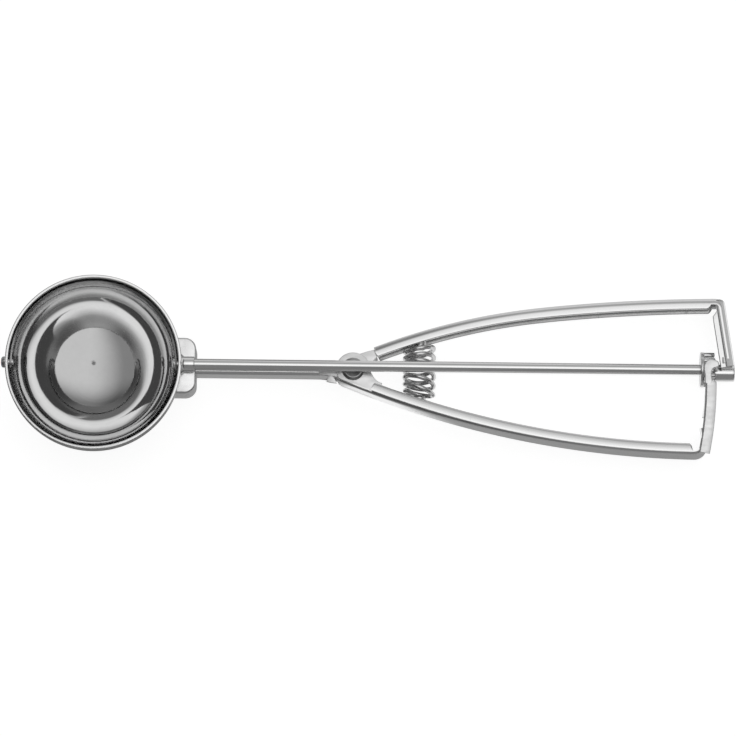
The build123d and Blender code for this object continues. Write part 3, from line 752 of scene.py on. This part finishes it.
def lower_stations(front):
    cu, cv, r = LOWER_ARC
    start = -atan2(sqrt(r ** 2 - (front - cu) ** 2), front - cu)
    end = -atan2(sqrt(r ** 2 - (LOWER_REAR_U - cu) ** 2), LOWER_REAR_U - cu)
    ends = [start + s / r for s in ease_steps(0.6)]
    line = [(cu + r * cos(a), cv + r * sin(a), (-sin(a), cos(a))) for a in ends]
    line += arc_line(cu, cv, r, start + 0.6 / r, end - 6.0 / r, 50) + arc_line(cu, cv, r, end - 6.0 / r,
                                                                               end, 14)[1:]
    u, v, (tu, tv) = line[-1]
    corner = LOWER_CORNER_R
    centre = (u - tv * corner, v + tu * corner)
    a0 = atan2(v - centre[1], u - centre[0])
    line += arc_line(centre[0], centre[1], corner, a0, a0 + radians(101), 14)[1:]
    u, v, tangent = line[-1]
    for i in range(1, 5):
        line.append((u + tangent[0] * i, v + tangent[1] * i, tangent))
    return line


def upper_ear_outline():
    pivot = circle(PIVOT[0], PIVOT[1], 2.95)
    lug = [(84.7, 4.75), (86.9, 5.5), (89.6, 6.2), (90.4, 4.2), (88.7, 2.7)]
    lap = NECK_END - 4.0
    end = [(lap, -2.2), (NECK_END, -2.2), (NECK_END, 2.2), (lap, 2.2)]
    return merged(hull(end + pivot), hull(pivot + lug))


def lower_web_v(u):
    return LOWER_ARC[1] - sqrt(LOWER_ARC[2] ** 2 - (u - LOWER_ARC[0]) ** 2)


def upper_web_v(u):
    return UPPER_FRONT[1] + sqrt(UPPER_FRONT[2] ** 2 - (u - UPPER_FRONT[0]) ** 2)


def lower_ear_outline():
    along_web = [(x, PIVOT[1] + lower_web_v(x - PIVOT[0]) + 0.5) for x in (77.9 + 13.8 * i / 18 for i in range(19))]
    hollow = [(91.7, -4.9), (90.6, -4.5), (89.75, -3.9), (89.1, -3.15), (88.6, -2.3), (88.1, -1.35),
              (87.5, 0.0), (86.7, 1.4)]
    disc = [(x, max(y, PIVOT[1] + lower_web_v(x - PIVOT[0]) + 0.5))
            for x, y in circle(PIVOT[0], PIVOT[1], 5.4, 72)]
    return merged(disc, along_web + hollow + [PIVOT])


def flat(x, y, z):
    return (x, y, z)


class ScoopFixedHandle(bpy.types.Operator):
    """Add the neck and the fixed handle with its pivot plates, crosspiece and rear saddle"""
    bl_idname = "scoop.fixed_handle"
    bl_label = "Fixed handle"

    def execute(self, context):
        sizes = context.scene.scoop_handle
        metal = finishes()
        form = Form()
        outline = upper_ear_outline()
        for z in (UPPER_NEAR_Z, UPPER_NEAR_Z - UPPER_H + 1.0):
            form.join(plate(outline, z - 0.98, z + 0.015, flat, edge=0.15))
        wing = [(74.0, -4.4), (75.6, -4.75), (77.3, -4.9), (76.5, -3.2), (75.9, -1.5), (75.0, -1.4),
                (74.4, -3.0)]
        form.join(plate(wing, UPPER_NEAR_Z - 0.9, UPPER_NEAR_Z, flat, edge=0.12))
        make_piece("fixed_plates", form, metal["plate"], "frame")
        make_piece("fixed_neck", neck_form(), metal["handle"], "frame")

        stations = upper_stations()

        sheet, bend, roll = mm(sizes.sheet), mm(sizes.fixed_bend), mm(sizes.fixed_crown)

        def section_at(depth, rest):
            slope = 0.26 * max(0.0, min(1.0, (19.0 - rest) / 4.0))
            return channel_section(depth, UPPER_H, sheet, bend, roll, 0.30, False, slope)
        form = channel(stations, ended(eased_ends(mm(sizes.fixed_depth), 2.05, 0.5, 0.0), 22.7, 2.06),
                       section_at, -1)
        for side in (1, -1):
            form.join(strap_form(side))
        piece = make_piece("fixed_channel", form, metal["handle"], "frame",
                           ["upper_handle"], sharp=40)
        paint_shade_inside(piece, metal["inside"], middle_level)

        form = saddle_form()
        make_piece("rear_saddle_rolled", form, metal["handle"], "frame", ["rear_bush"],
                   sharp=40)
        return {"FINISHED"}


def middle_level(point):
    """Height of the handles' middle plane over the rod's, at a place along the scoop."""
    along = (point / MM - ORIGIN).dot(TOOL_X) - PIVOT[0]
    return MID_Z + along * tan(INCLINE)


def strap_form(side, top=2.7, face=2.7, wide=4.5, thick=1.0, round_=1.7):
    """Flange of the fixed handle's crosspiece: a flat strap over the arm's end, with a lower ledge along its inside."""
    cu, cv, r = UPPER_CORNER
    start = (cu + r * cos(CROSS_LEAN), cv + r * sin(CROSS_LEAN))
    down = (sin(CROSS_LEAN), -cos(CROSS_LEAN))
    length_ = (start[1] - 1.3) / -down[1]
    ends = [-top + round_ * (1 - cos(pi / 2 * i / 6)) for i in range(7)]
    rings = []
    for s in ends + [-top + round_ + (length_ + top - round_) * i / 12 for i in range(1, 13)]:
        back = round_ - sqrt(max(0.0, round_ ** 2 - max(0.0, round_ - s - top) ** 2))
        ledge = face + 0.2 + (wide - face - 0.2) * max(0.0, min(1.0, (s - 0.8) / 1.6)) ** 0.5
        ring = []
        for n, w in ((0.15, -0.85), (0.0, -0.5), (0.0, -0.2), (0.08, -0.06), (0.25, 0.0), (0.4, -0.02),
                     (face - 0.35, -0.31), (face - 0.2, -0.34), (face - 0.05, -0.42), (face, -0.6),
                     (face + 0.1, -0.76),
                     (face + 0.2, -0.77), (ledge - 0.3, -0.77), (ledge - 0.2, -0.78), (ledge - 0.05, -0.84),
                     (ledge, -1.0), (ledge, -thick - 0.7), (face * 0.5, -thick - 0.7)):
            n = max(back, min(wide - back, n)) + 0.02
            ring.append(tilted(start[0] + down[0] * s + down[1] * n, start[1] + down[1] * s - down[0] * n,
                               side * (UPPER_H / 2 - 0.07 + w)))
        rings.append(ring)
    return Form().skin(rings)


def saddle_form():
    """Tongue that leaves the crosspiece's near flange, bends over the rod and curls round its bush."""
    x0, x1 = SADDLE_X
    outer, edge = 2.75, 0.45
    profile = [(x0, 0.1), (x0, outer - edge)] + [(x0 + edge - edge * cos(a), outer - edge + edge * sin(a))
                                                  for a in (0.5, 1.0, 1.4)]
    profile += [(x0 + 1.5 + i * (x1 - x0 - 3.0) / 3, outer) for i in range(4)]
    profile += [(x1 - edge + edge * sin(a), outer - edge + edge * cos(a)) for a in (0.15, 0.6, 1.1)]
    profile += [(x1, outer - edge), (x1, 0.1)]
    ring = turned(profile, 56, along_x(0.0, -0.95, -0.3))
    rows = []
    path = [(3.4, 4.3, 5.2), (2.4, 4.3, 5.2), (1.5, 4.1, 5.1), (0.8, 3.6, 4.8), (0.2, 2.9, 4.2),
            (-0.2, 2.2, 3.5),
            (-0.4, 1.5, 2.7)]
    left, right = 199.2, 202.6
    for y, low, high in path:
        rows.append([(left, y, low), (left + 0.1, y, high - 0.12), (left + 0.3, y, high),
                     (right - 0.3, y, high),
                     (right - 0.1, y, high - 0.12), (right, y, low)])
    return ring.join(Form().skin(rows))


class ScoopSqueezeHandle(bpy.types.Operator):
    """Add the squeeze handle with its pivot plates and the curved strip that carries the rack"""
    bl_idname = "scoop.squeeze_handle"
    bl_label = "Squeeze handle"

    def execute(self, context):
        sizes = context.scene.scoop_handle
        metal = finishes()
        depth = mm(sizes.squeeze_depth)
        sheet, bend, roll = mm(sizes.sheet), mm(sizes.squeeze_bend), mm(sizes.squeeze_crown)

        def section_at(depth, rest):
            return channel_section(depth, LEVER_H, sheet, bend, roll, 1.0, True)
        form = channel(lower_stations(LOWER_FLANGE_U), ended(eased_ends(depth, 1.30, 0.6, 0.0), 11.2, 1.30),
                       section_at, 1)
        front = lower_front_web()
        form.join(front)
        plates = Form()
        outline = lower_ear_outline()
        for z in (LEVER_NEAR_Z, LEVER_NEAR_Z - LEVER_H + 1.0):
            plates.join(plate(outline, z - 0.98, z + 0.015, flat, edge=0.15))
        make_piece("squeeze_plates", plates, metal["plate"], "squeeze_lever")
        make_piece("squeeze_channel", form, metal["handle"], "squeeze_lever",
                   ["lower_handle"],
                   sharp=40)
        make_piece("curved_strip", strip_form(), metal["plate"], "squeeze_lever", sharp=40)
        return {"FINISHED"}


def lower_front_web():
    """The squeeze handle's web in front of its flanges, wrapped over the pivot plates."""
    stations = lower_stations(LOWER_FRONT_U)
    kept = [s for s in stations if s[0] < LOWER_FLANGE_U + 0.8]
    section = ((0.0, 6.35), (0.09, 6.6), (0.35, 6.7), (1.0, 6.7),
               (1.0, -6.7), (0.35, -6.7), (0.09, -6.6), (0.0, -6.35))
    rings = []
    for u, v, (tu, tv) in kept:
        ring = []
        for n, w in section:
            ring.append(tilted(u - tv * n, v + tu * n, w))
        rings.append(ring)
    return Form().skin(rings)


def strip_form():
    """Curved strip that passes over the pin wheel and narrows to a tongue hooked over the rod."""
    r0, r1 = STRIP_R
    middle, half = (r0 + r1) / 2, (r1 - r0) / 2
    start, tip = radians(-11.1), radians(0.15)
    low, high, edge, fall = STRIP_Z, STRIP_Z + 1.0, 0.22, 0.05
    rings = []
    round_end = [tip + 0.8 / middle * sin(pi / 2 * i / 5) for i in range(1, 6)]
    for a in [start + (tip - start) * i / 36 for i in range(37)] + round_end:
        over = max(0.0, (a - tip) * middle)
        wide = half - 0.8 + sqrt(max(0.0, 0.64 - over ** 2))
        ring = []
        for dr, z in ((-wide, low + edge), (-wide, high - 0.55), (-wide + 0.25, high - 0.3),
                      (-wide + 0.55, high), (0.0, high), (wide - edge, high),
                      (wide - edge * 0.3, high - edge * 0.3),
                      (wide, high - edge), (wide, low + edge), (wide - edge, low), (-wide + edge, low)):
            ring.append((STRIP_MIDDLE[0] + (middle + dr) * cos(a), STRIP_MIDDLE[1] + (middle + dr) * sin(a),
                         z - fall * (dr + half) * (z > low + edge * 1.5)))
        rings.append(ring)
    tongue = [(193.9, -5.6), (196.0, -5.6), (196.1, -4.3), (195.85, -3.4), (195.75, -2.2), (195.95, -1.0),
              (196.5, -0.4),
              (197.4, -0.2), (198.0, 0.1), (198.2, 0.9), (198.0, 1.7), (197.2, 2.2), (196.0, 2.5),
              (194.9, 2.4),
              (194.0, 1.8), (193.4, 0.6), (193.3, -0.8), (193.6, -2.2), (193.65, -3.4), (193.6, -4.6)]
    return Form().skin(rings).join(plate(smoothed(tongue), low - 0.02, high - 0.06, flat, edge=0.34, steps=4))


def smoothed(outline, rounds=2):
    """The outline with its corners cut twice over."""
    for _ in range(rounds):
        cut = []
        for (ax, ay), (bx, by) in zip(outline, outline[1:] + outline[:1]):
            cut += [(ax * 0.75 + bx * 0.25, ay * 0.75 + by * 0.25),
                    (ax * 0.25 + bx * 0.75, ay * 0.25 + by * 0.75)]
        outline = cut
    return outline


# --- rod, wheel and rack ------------------------------------------------------------------------------
class ScoopRod(bpy.types.Operator):
    """Add the long rod with its stepped front end and chamfered rear end"""
    bl_idname = "scoop.rod"
    bl_label = "Rod"

    def execute(self, context):
        radius = mm(context.scene.scoop_works.rod)
        neck = 1.2
        profile = [(25.0, 0.1), (25.0, neck), (26.72, neck), (26.76, radius - 0.12), (26.9, radius)]
        profile += [(26.9 + (202.6 - 26.9) * i / 24, radius) for i in range(1, 24)]
        profile += [(202.9, radius), (203.15, radius - 0.18), (203.3, radius - 0.4), (203.3, 0.1)]
        make_piece("main_rod", turned(profile, 56, along_x()), finishes()["rod"], "scraper",
                   ["main_shaft"])
        head = [(24.95, 0.1), (24.95, 1.5), (25.08, 1.95), (25.35, 2.22), (25.7, 2.3), (25.95, 2.25),
                (26.0, 1.0)]
        make_piece("rod_rivet_turned", turned(head, 40, along_x()), finishes()["rivet"], "scraper",
                   ["shaft_rivet_head"])
        return {"FINISHED"}


class ScoopWheel(bpy.types.Operator):
    """Add the pin wheel that turns the rod, with its six pins"""
    bl_idname = "scoop.wheel"
    bl_label = "Pin wheel"

    def execute(self, context):
        metal = finishes()
        x, thick, edge = WHEEL_X, 1.1, 0.16
        profile = [(x, 1.76), (x, 5.6 - edge), (x + edge * 0.3, 5.6 - edge * 0.3), (x + edge, 5.6),
                   (x + thick - edge, 5.6), (x + thick - edge * 0.3, 5.6 - edge * 0.3),
                   (x + thick, 5.6 - edge),
                   (x + thick, 3.1), (x + thick + 0.2, 2.9), (x + 2.7, 2.9), (x + 2.9, 2.7), (x + 2.9, 1.76)]
        disc = turned(profile, 64, along_x(), loop=True)
        make_piece("wheel_disc", disc, metal["rivet"], "scraper", ["pinion_disc"])
        pins = Form()
        for i in range(6):
            a = (i + 0.5) * pi / 3
            y, z = 4.7 * sin(a), 4.7 * cos(a)
            end = 197.2
            profile = [(x + 0.02, 0.1), (x + 0.02, 0.85), (end - 0.35, 0.85), (end - 0.12, 0.72),
                       (end - 0.02, 0.4), (end, 0.08)]
            pins.join(turned(profile, 28, along_x(0.0, y, z)))
        make_piece("wheel_pins", pins, metal["rod"], "scraper", ["pinion_pins"])
        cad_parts["gear_rack"].data.materials.clear()
        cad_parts["gear_rack"].data.materials.append(metal["rack"])
        return {"FINISHED"}


# --- pivot and spring ---------------------------------------------------------------------------------
class ScoopPivot(bpy.types.Operator):
    """Add the pivot rivet with its bevelled heads, and finish the spacer, shims and studs"""
    bl_idname = "scoop.pivot"
    bl_label = "Pivot"

    def execute(self, context):
        head = mm(context.scene.scoop_works.rivet_head)
        metal = finishes()
        near, thick = LEVER_NEAR_Z + 0.05, 1.05
        half = [(near, 2.0), (near, head - 0.1), (near + 0.08, head), (near + thick - 0.6, head),
                (near + thick - 0.54, head - 0.08), (near + thick - 0.12, head - 0.56),
                (near + thick - 0.03, head - 0.75),
                (near + thick, head - 0.9), (near + thick - 0.04, head - 1.05), (near + thick - 0.5, 0.6),
                (near + thick - 0.52, 0.1)]
        middle = LEVER_NEAR_Z - LEVER_H / 2
        other = [(2 * middle - z, r) for z, r in half[::-1]]
        make_piece("pivot_rivet_turned", turned(other + half, 64, along_z()), metal["pivot"], "frame",
                   ["pivot_rivet"])
        for node in ("pivot_spacer", "near_shim", "far_shim", "upper_spring_stud", "lower_spring_stud"):
            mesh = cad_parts[node].data
            mesh.materials.clear()
            mesh.materials.append(metal["rivet"])
        return {"FINISHED"}


class ScoopSpring(bpy.types.Operator):
    """Add the return spring, wound between the two handles"""
    bl_idname = "scoop.spring"
    bl_label = "Return spring"

    def execute(self, context):
        works = context.scene.scoop_works
        wire = mm(works.wire) / 2
        radius = mm(works.spring_radius) - wire
        lean = cos(radians(16))
        high = upper_web_v(SPRING_U) - 3.4 / lean - wire
        low = lower_web_v(SPRING_U) + 3.8 / lean + 0.3 + wire * 1.05
        coils, facing = works.coils, mm(works.coil_facing)
        line = []
        steps = int(coils * 44)
        for i in range(steps + 1):
            t = i / steps
            turn = 2 * pi * coils * t + pi * 0.55
            side = radius * cos(turn) * (1 - 0.04 * (2 * t - 1) ** 2)
            depth = radius * sin(turn) * (1 - 0.04 * (2 * t - 1) ** 2)
            v = (1 - t) * (low - SPRING_LEAN * side) + t * (high + SPRING_LEAN * side)
            v += facing * sin(turn) * max(0.0, min(1.0, 4 * min(t, 1 - t) - 0.4))
            line.append(tilted(SPRING_U + side, v, depth))
        form = tube(line, lambda t: wire * min(1.0, 0.55 + 30 * min(t, 1 - t)), 18)
        piece = make_piece("return_spring_wound", form, finishes()["spring"], "frame",
                           ["return_spring"])
        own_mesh(piece)
        return {"FINISHED"}


# --- studio -------------------------------------------------------------------------------------------
class ScoopStudio(bpy.types.Operator):
    """Add the pale floor, the light fitted to the main view and the camera"""
    bl_idname = "scoop.studio"
    bl_label = "Studio"

    def execute(self, context):
        scene = context.scene
        settings = scene.scoop_studio
        scene.view_settings.view_transform = "Standard"
        add_floor(tuple(settings.floor))
        add_world()
        add_card()
        add_screen()
        add_camera(settings)
        return {"FINISHED"}


def add_floor(colour):
    """The pale floor. Reflections show it with a brightness of its own, set for the main view: painted shade, darkest
    towards the squeeze handle's side and under the neck and the bowl.
    """
    size = 3.0
    mesh = bpy.data.meshes.new("floor")
    mesh.from_pydata([(-size, -size, -0.0004), (size, -size, -0.0004), (size, size, -0.0004),
                      (-size, size, -0.0004)],
                     [], [(0, 1, 2, 3)])
    floor = bpy.data.objects.new("floor", mesh)
    bpy.context.scene.collection.objects.link(floor)
    material = bpy.data.materials.new("Pale floor")
    material.use_nodes = True
    nodes, links = material.node_tree.nodes, material.node_tree.links
    nodes.clear()
    out = nodes.new("ShaderNodeOutputMaterial")
    both = nodes.new("ShaderNodeAddShader")
    matt = nodes.new("ShaderNodeBsdfDiffuse")
    matt.inputs["Color"].default_value = (*(c * 0.4 for c in colour), 1.0)
    glow = nodes.new("ShaderNodeEmission")
    glow.inputs["Color"].default_value = (1.0, 1.0, 1.0, 1.0)
    path = nodes.new("ShaderNodeLightPath")
    place = nodes.new("ShaderNodeTexCoord")
    split = nodes.new("ShaderNodeSeparateXYZ")
    links.new(place.outputs["Object"], split.inputs["Vector"])
    # painted shade: in reflections the floor's glow changes across it, darkest towards the squeeze handle's side
    side = nodes.new("ShaderNodeValToRGB")
    side.color_ramp.interpolation = "EASE"
    stops = side.color_ramp.elements
    while len(stops) < 5:
        stops.new(0.5)
    for stop, (y, light) in zip(stops, ((-0.030, 0.22), (-0.019, 0.25), (-0.012, 0.90), (-0.002, 0.80),
                                        (0.012, 0.62))):
        stop.position = (y + 0.03) / 0.06
        stop.color = (light,) * 3 + (1.0,)
    across = nodes.new("ShaderNodeMapRange")
    across.inputs["From Min"].default_value = -0.03
    across.inputs["From Max"].default_value = 0.03
    links.new(split.outputs["Y"], across.inputs["Value"])
    links.new(across.outputs["Result"], side.inputs["Fac"])
    # painted shade: in reflections the floor is darker under the neck and the bowl
    ahead = nodes.new("ShaderNodeMapRange")
    for name, value in (("From Min", -0.0135), ("From Max", -0.0095), ("To Min", 0.32), ("To Max", 1.0)):
        ahead.inputs[name].default_value = value
    links.new(split.outputs["X"], ahead.inputs["Value"])
    mirrored = nodes.new("ShaderNodeMath")
    mirrored.operation = "MULTIPLY"
    glossy_painted_shade = nodes.new("ShaderNodeMath")
    glossy_painted_shade.operation = "MULTIPLY"
    links.new(path.outputs["Is Glossy Ray"], glossy_painted_shade.inputs[0])
    links.new(ahead.outputs["Result"], glossy_painted_shade.inputs[1])
    links.new(glossy_painted_shade.outputs["Value"], mirrored.inputs[0])
    links.new(side.outputs["Color"], mirrored.inputs[1])
    seen = nodes.new("ShaderNodeMath")
    seen.operation = "MAXIMUM"
    links.new(path.outputs["Is Camera Ray"], seen.inputs[0])
    links.new(path.outputs["Is Transmission Ray"], seen.inputs[1])
    strength = nodes.new("ShaderNodeMath")
    strength.operation = "MULTIPLY_ADD"
    links.new(seen.outputs["Value"], strength.inputs[0])
    strength.inputs[1].default_value = 0.875
    links.new(mirrored.outputs["Value"], strength.inputs[2])
    links.new(strength.outputs["Value"], glow.inputs["Strength"])
    links.new(matt.outputs["BSDF"], both.inputs[0])
    links.new(glow.outputs["Emission"], both.inputs[1])
    links.new(both.outputs["Shader"], out.inputs["Surface"])
    mesh.materials.append(material)


def mirrored_sheet(name, points, faces, at, finish):
    """A flat glowing sheet in the scoop's axes that only reflections show, and what its brightness is made with."""
    mesh = bpy.data.meshes.new(name)
    mesh.from_pydata(points, [], faces)
    sheet = bpy.data.objects.new(name, mesh)
    bpy.context.scene.collection.objects.link(sheet)
    turn = Matrix((TOOL_X, TOOL_Y, TOOL_Z)).transposed().to_4x4()
    turn.translation = placed(at)
    sheet.matrix_world = turn
    sheet.visible_camera = sheet.visible_diffuse = sheet.visible_transmission = False
    sheet.visible_volume_scatter = sheet.visible_shadow = False
    material = bpy.data.materials.new(finish)
    material.use_nodes = True
    nodes, links = material.node_tree.nodes, material.node_tree.links
    nodes.clear()
    out = nodes.new("ShaderNodeOutputMaterial")
    glow = nodes.new("ShaderNodeEmission")
    place = nodes.new("ShaderNodeTexCoord")
    links.new(glow.outputs["Emission"], out.inputs["Surface"])
    mesh.materials.append(material)
    return sheet, nodes, links, place.outputs["Object"], glow.inputs["Strength"]


def shaded(nodes, links, source, start, end, low, high):
    """Brightness that goes softly from low to high while the source goes from start to end."""
    shade = nodes.new("ShaderNodeMapRange")
    shade.interpolation_type = "SMOOTHSTEP"
    for name, value in (("From Min", start), ("From Max", end), ("To Min", low), ("To Max", high)):
        shade.inputs[name].default_value = value
    links.new(source, shade.inputs["Value"])
    return shade.outputs["Result"]


# painted reflection: a glowing card seen only in the bowl, whose falloffs and dark spot give the grey disc and its dot
CARD = (-0.55, 1.49, -4.0)
CARD_RADIUS = 0.0163
CARD_SPOT = (0.0003, -0.0009, 0.0)


def add_card():
    """A glowing disc with a dark spot inside the bowl, 7 mm under its rim, which only reflections show: a painted
    reflection.

    The even grey in the middle of the bowl, its shading and its dot are this card's mirror image, and not the bowl's
    own shape and finish. Its brightness was set for the main view. It is no piece of the scoop.
    """
    count = 64
    edge = [(CARD_RADIUS * cos(2 * pi * i / count), CARD_RADIUS * sin(2 * pi * i / count),
             0.0) for i in range(count)]
    card, nodes, links, here, brightness = mirrored_sheet(
        "bowl_card", [(0.0, 0.0, 0.0)] + edge, [(0, i + 1, (i + 1) % count + 1) for i in range(count)], CARD,
        "Painted reflection card")
    split = nodes.new("ShaderNodeSeparateXYZ")
    links.new(here, split.inputs["Vector"])
    away = nodes.new("ShaderNodeVectorMath")
    away.operation = "DISTANCE"
    links.new(here, away.inputs[0])
    away.inputs[1].default_value = CARD_SPOT
    strength = shaded(nodes, links, split.outputs["X"], -0.0095, 0.0019, 0.27, 0.68)
    for factor in (shaded(nodes, links, split.outputs["Y"], 0.0027, 0.0145, 1.12, 0.36),
                   shaded(nodes, links, away.outputs["Value"], 0.0003, 0.0006, 0.30, 1.0)):
        both = nodes.new("ShaderNodeMath")
        both.operation = "MULTIPLY"
        links.new(strength, both.inputs[0])
        links.new(factor, both.inputs[1])
        strength = both.outputs["Value"]
    links.new(strength, brightness)


SCREEN_HEIGHT = 450.0
SCREEN_EDGE = 0.006
SCREEN_FADE = 0.02


def add_screen():
    """A glowing screen high over the bowl, which only reflections show: painted shade, dark over most of it and
    brightening towards its edge. Its outline was cut to suit the main view.
    """
    outline = [(-0.4, -0.3, 0.0), (SCREEN_EDGE, -0.3, 0.0), (SCREEN_EDGE, -0.025, 0.0), (-0.06, 0.025, 0.0),
               (-0.4, 0.2, 0.0)]
    screen, nodes, links, here, brightness = mirrored_sheet(
        "dark_screen", outline, [(0, 1, 2, 3, 4)], (0.0, 0.0, SCREEN_HEIGHT), "Painted shade screen")
    split = nodes.new("ShaderNodeSeparateXYZ")
    links.new(here, split.inputs["Vector"])
    links.new(shaded(nodes, links, split.outputs["X"], SCREEN_EDGE - SCREEN_FADE, SCREEN_EDGE, 0.10, 0.9),
              brightness)


# Light of the tent round the scoop, by the angle in degrees from overhead towards the fixed handle's side, and its
# share by the angle towards the handles' rear. The stops were set in several rounds, to fit the main
# view, so this is a fitted light and no plain studio light.
TENT = [(-180, 0.35), (-112, 0.30), (-90, 0.27), (-52, 0.26), (-20, 0.26), (-15, 1.15), (-8, 1.42), (4, 1.45),
        (9, 1.42), (15, 1.25), (22, 1.02), (29, 0.76), (36, 0.52), (46, 0.48), (60, 0.54), (70, 0.66),
        (80, 0.92),
        (180, 0.95)]
TENT_LENGTHWISE = [(-90, 0.25), (-45, 0.25), (-25, 0.36), (-17, 0.58), (-11, 0.98), (-6, 0.97), (0, 0.94),
                   (5, 1.0),
                   (16, 1.0), (25, 0.82), (36, 0.44), (50, 0.25), (90, 0.25)]
TENT_TOP = 1.5


def add_world():
    """The light tent. The camera sees plain white in its place."""
    world = bpy.data.worlds.new("Light tent")
    bpy.context.scene.world = world
    world.use_nodes = True
    nodes, links = world.node_tree.nodes, world.node_tree.links
    nodes.clear()
    out = nodes.new("ShaderNodeOutputWorld")
    place = nodes.new("ShaderNodeTexCoord")

    def along(axis):
        dot = nodes.new("ShaderNodeVectorMath")
        dot.operation = "DOT_PRODUCT"
        links.new(place.outputs["Generated"], dot.inputs[0])
        dot.inputs[1].default_value = tuple(axis)
        return dot.outputs["Value"]

    def math(kind, *values):
        step = nodes.new("ShaderNodeMath")
        step.operation = kind
        for socket, value in zip(step.inputs, values):
            if isinstance(value, (int, float)):
                socket.default_value = value
            else:
                links.new(value, socket)
        return step.outputs["Value"]

    def by_angle(value, stops_of, reach, top):
        ramp = nodes.new("ShaderNodeValToRGB")
        stops = ramp.color_ramp.elements
        while len(stops) < len(stops_of):
            stops.new(0.5)
        for stop, (turn, light) in zip(stops, stops_of):
            stop.position = (turn + reach) / (2 * reach)
            stop.color = (light / top,) * 3 + (1.0,)
        links.new(math("MULTIPLY_ADD", value, 180 / (2 * pi * reach), 0.5), ramp.inputs["Fac"])
        return ramp.outputs["Color"]

    across = by_angle(math("ARCTAN2", along(TOOL_Y), along(TOOL_Z)), TENT, 180, TENT_TOP)
    lengthwise = by_angle(math("ARCSINE", along(TOOL_X)), TENT_LENGTHWISE, 90, 1.0)

    light = math("MULTIPLY", lengthwise, TENT_TOP)
    tent = nodes.new("ShaderNodeBackground")
    links.new(across, tent.inputs["Color"])
    links.new(light, tent.inputs["Strength"])
    white = nodes.new("ShaderNodeBackground")
    white.inputs["Color"].default_value = (1.0, 1.0, 1.0, 1.0)
    path = nodes.new("ShaderNodeLightPath")
    mix = nodes.new("ShaderNodeMixShader")
    links.new(path.outputs["Is Camera Ray"], mix.inputs["Fac"])
    links.new(tent.outputs["Background"], mix.inputs[1])
    links.new(white.outputs["Background"], mix.inputs[2])
    links.new(mix.outputs["Shader"], out.inputs["Surface"])


def add_camera(settings):
    target = Vector(placed((87.16, -0.59, 0.0)))
    lean, roll = settings.lean, settings.roll
    back = (TOOL_Z * cos(lean) - TOOL_Y * sin(lean)).normalized()
    right = TOOL_X.normalized()
    up = back.cross(right).normalized()
    right, up = right * cos(roll) + up * sin(roll), up * cos(roll) - right * sin(roll)
    data = bpy.data.cameras.new("camera")
    data.sensor_width = 36.0
    data.lens = data.sensor_width / 2 / tan(settings.view_angle / 2)
    camera = bpy.data.objects.new("camera", data)
    bpy.context.scene.collection.objects.link(camera)
    place = Matrix((right, up, back)).transposed().to_4x4()
    place.translation = target + back * settings.distance
    camera.matrix_world = place
    data.clip_start, data.clip_end = 0.01, 20.0
    bpy.context.scene.camera = camera


# --- sidebar ------------------------------------------------------------------------------------------
SETTINGS = {
    "scoop_bowl": ScoopBowlSettings,
    "scoop_handle": ScoopHandleSettings,
    "scoop_works": ScoopWorksSettings,
    "scoop_steel": ScoopSteelSettings,
    "scoop_studio": ScoopStudioSettings,
}
OPERATORS = (ScoopStudio, ScoopBowl, ScoopScraper, ScoopFrontPin, ScoopBracket, ScoopFixedHandle,
             ScoopSqueezeHandle,
             ScoopRod, ScoopWheel, ScoopPivot, ScoopSpring)


class ScoopPanel(bpy.types.Panel):
    """Lists the scoop's pieces and their sizes"""
    bl_idname = "VIEW3D_PT_scoop"
    bl_label = "Squeeze scoop"
    bl_space_type = "VIEW_3D"
    bl_region_type = "UI"
    bl_category = "Scoop"

    def draw(self, context):
        layout = self.layout
        for name, group in SETTINGS.items():
            box = layout.box()
            for key in group.__annotations__:
                box.prop(getattr(context.scene, name), key)
        for operator in OPERATORS:
            layout.operator(operator.bl_idname)


def register():
    for group in SETTINGS.values():
        bpy.utils.register_class(group)
    for name, group in SETTINGS.items():
        setattr(bpy.types.Scene, name, bpy.props.PointerProperty(type=group))
    for operator in OPERATORS:
        bpy.utils.register_class(operator)
    bpy.utils.register_class(ScoopPanel)


def unregister():
    bpy.utils.unregister_class(ScoopPanel)
    for operator in reversed(OPERATORS):
        bpy.utils.unregister_class(operator)
    for name, group in SETTINGS.items():
        delattr(bpy.types.Scene, name)
        bpy.utils.unregister_class(group)


def main():
    register()
    for operator in OPERATORS:
        group, name = operator.bl_idname.split(".")
        getattr(getattr(bpy.ops, group), name)()
    bpy.context.view_layer.update()


if __name__ == "__main__":
    main()
